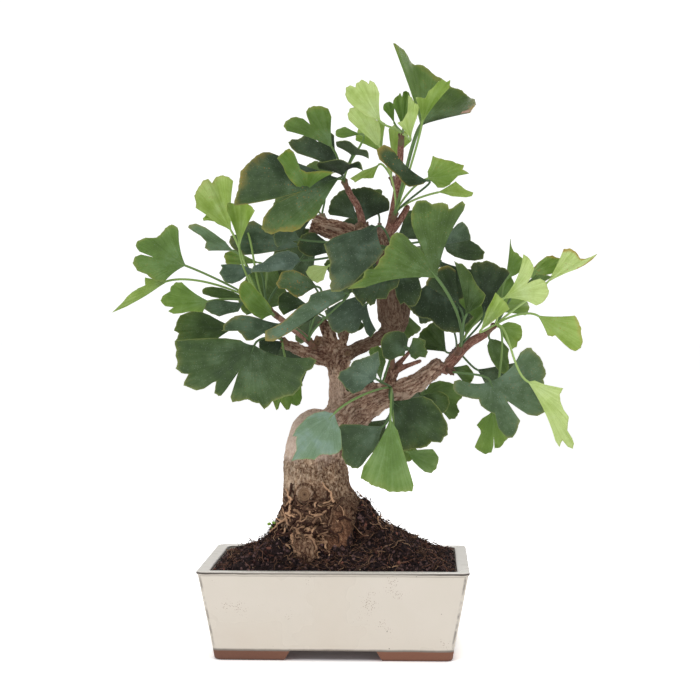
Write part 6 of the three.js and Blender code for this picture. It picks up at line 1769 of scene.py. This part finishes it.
# a seedling with three round leaves at the trunk's left foot
def makeSeedling():
    skin = Skin("own")
    stem = np.array([[-48.5, -9, 82], [-49.5, -9.5, 89], [-50.3, -10, 94]])
    skin.add(*tube(stem, [0.4, 0.35, 0.3], 6), own=0.2)
    for x, y, z, size, tilt in ((-52.2, -10.4, 95.6, 2.0, 0.5), (-48.6, -10.6, 96.6, 1.9, -0.4),
                                (-50.6, -9.0, 93.0, 1.3, 0.2)):
        steps = np.linspace(-1, 1, 7)
        line = np.array([x, y, z]) + size * steps[:, None] * np.array([0.8, -0.2, 0.5 * tilt])
        skin.add(*tube(line, size * 0.62 * np.sqrt(np.maximum(1.02 - steps ** 2, 0.02)), 8), own=0.8)
    piece = skin.piece("seedling", [makeTintedMaterial("seedling", (96, 140, 54), (168, 204, 96), 0.4)])
    dress(piece, "soil")


strewnLooks = {
    "dark crumbs": ((16, 10, 14), (124, 96, 94), 0.75),
    "pale grit": ((120, 92, 70), (196, 170, 138), 0.7),
    "bark chips": ((48, 26, 26), (168, 112, 96), 0.7),
    "fibre": ((36, 22, 21), (136, 98, 80), 0.7),
    "root fibre": ((72, 48, 36), (188, 152, 120), 0.65),
    "bare roots": ((62, 38, 30), (222, 178, 142), 0.65),
}
# ground, kind, look, how many on a square metre, smallest and largest in metres
strewn = {
    "soil_crumbs": ("bed", "crumbs", "dark crumbs", 150000, 0.0008, 0.0027),
    "soil_grit": ("bed", "crumbs", "pale grit", 3500, 0.0006, 0.0015),
    "soil_chips": ("bed", "crumbs", "bark chips", 9000, 0.002, 0.006),
    "soil_fibres": ("bed", "strands", "fibre", 52000, 0.004, 0.014),
    "soil_roots": ("bed", "strands", "root fibre", 4200, 0.006, 0.022),
    "bark_crumbs": ("bark", "crumbs", "dark crumbs", 230000, 0.0008, 0.003),
    "bark_grit": ("bark", "crumbs", "pale grit", 12000, 0.0006, 0.0018),
    "bark_chips": ("bark", "crumbs", "bark chips", 30000, 0.0018, 0.005),
    "bark_fibres": ("bark", "strands", "fibre", 90000, 0.003, 0.011),
}


def makeSoil():
    grounds = {"bed": makeSoilBed(), "bark": makeCoveredGround(wood)}
    bed = grounds["bed"]
    bed.data.materials.append(makeSoilMaterial())
    trees = {name: scatterTree(name) for name in strewnKinds}
    looks = {name: makeTintedMaterial(name, *look) for name, look in strewnLooks.items()}
    for seed, (name, (ground, kind, look, density, smallest, largest)) in enumerate(strewn.items()):
        piece = scatter(name, grounds[ground], trees[kind], **{
            "Per square metre": float(density), "Smallest": smallest, "Largest": largest,
            "Shape": (1, 0.6, 0.3) if look == "bark chips" else (1, 1, 1), "Seed": seed + 1,
            "Material": looks[look]})
        dress(piece, "soil")
        print(name, len(piece.data.polygons), "faces")
    makeRoots([bed, wood], looks["bare roots"])
    bpy.data.meshes.remove(grounds["bark"].data)
    dress(bed, "soil", "soil")


makeSoil()
makeSeedling()
print("soil ready")


print("done")
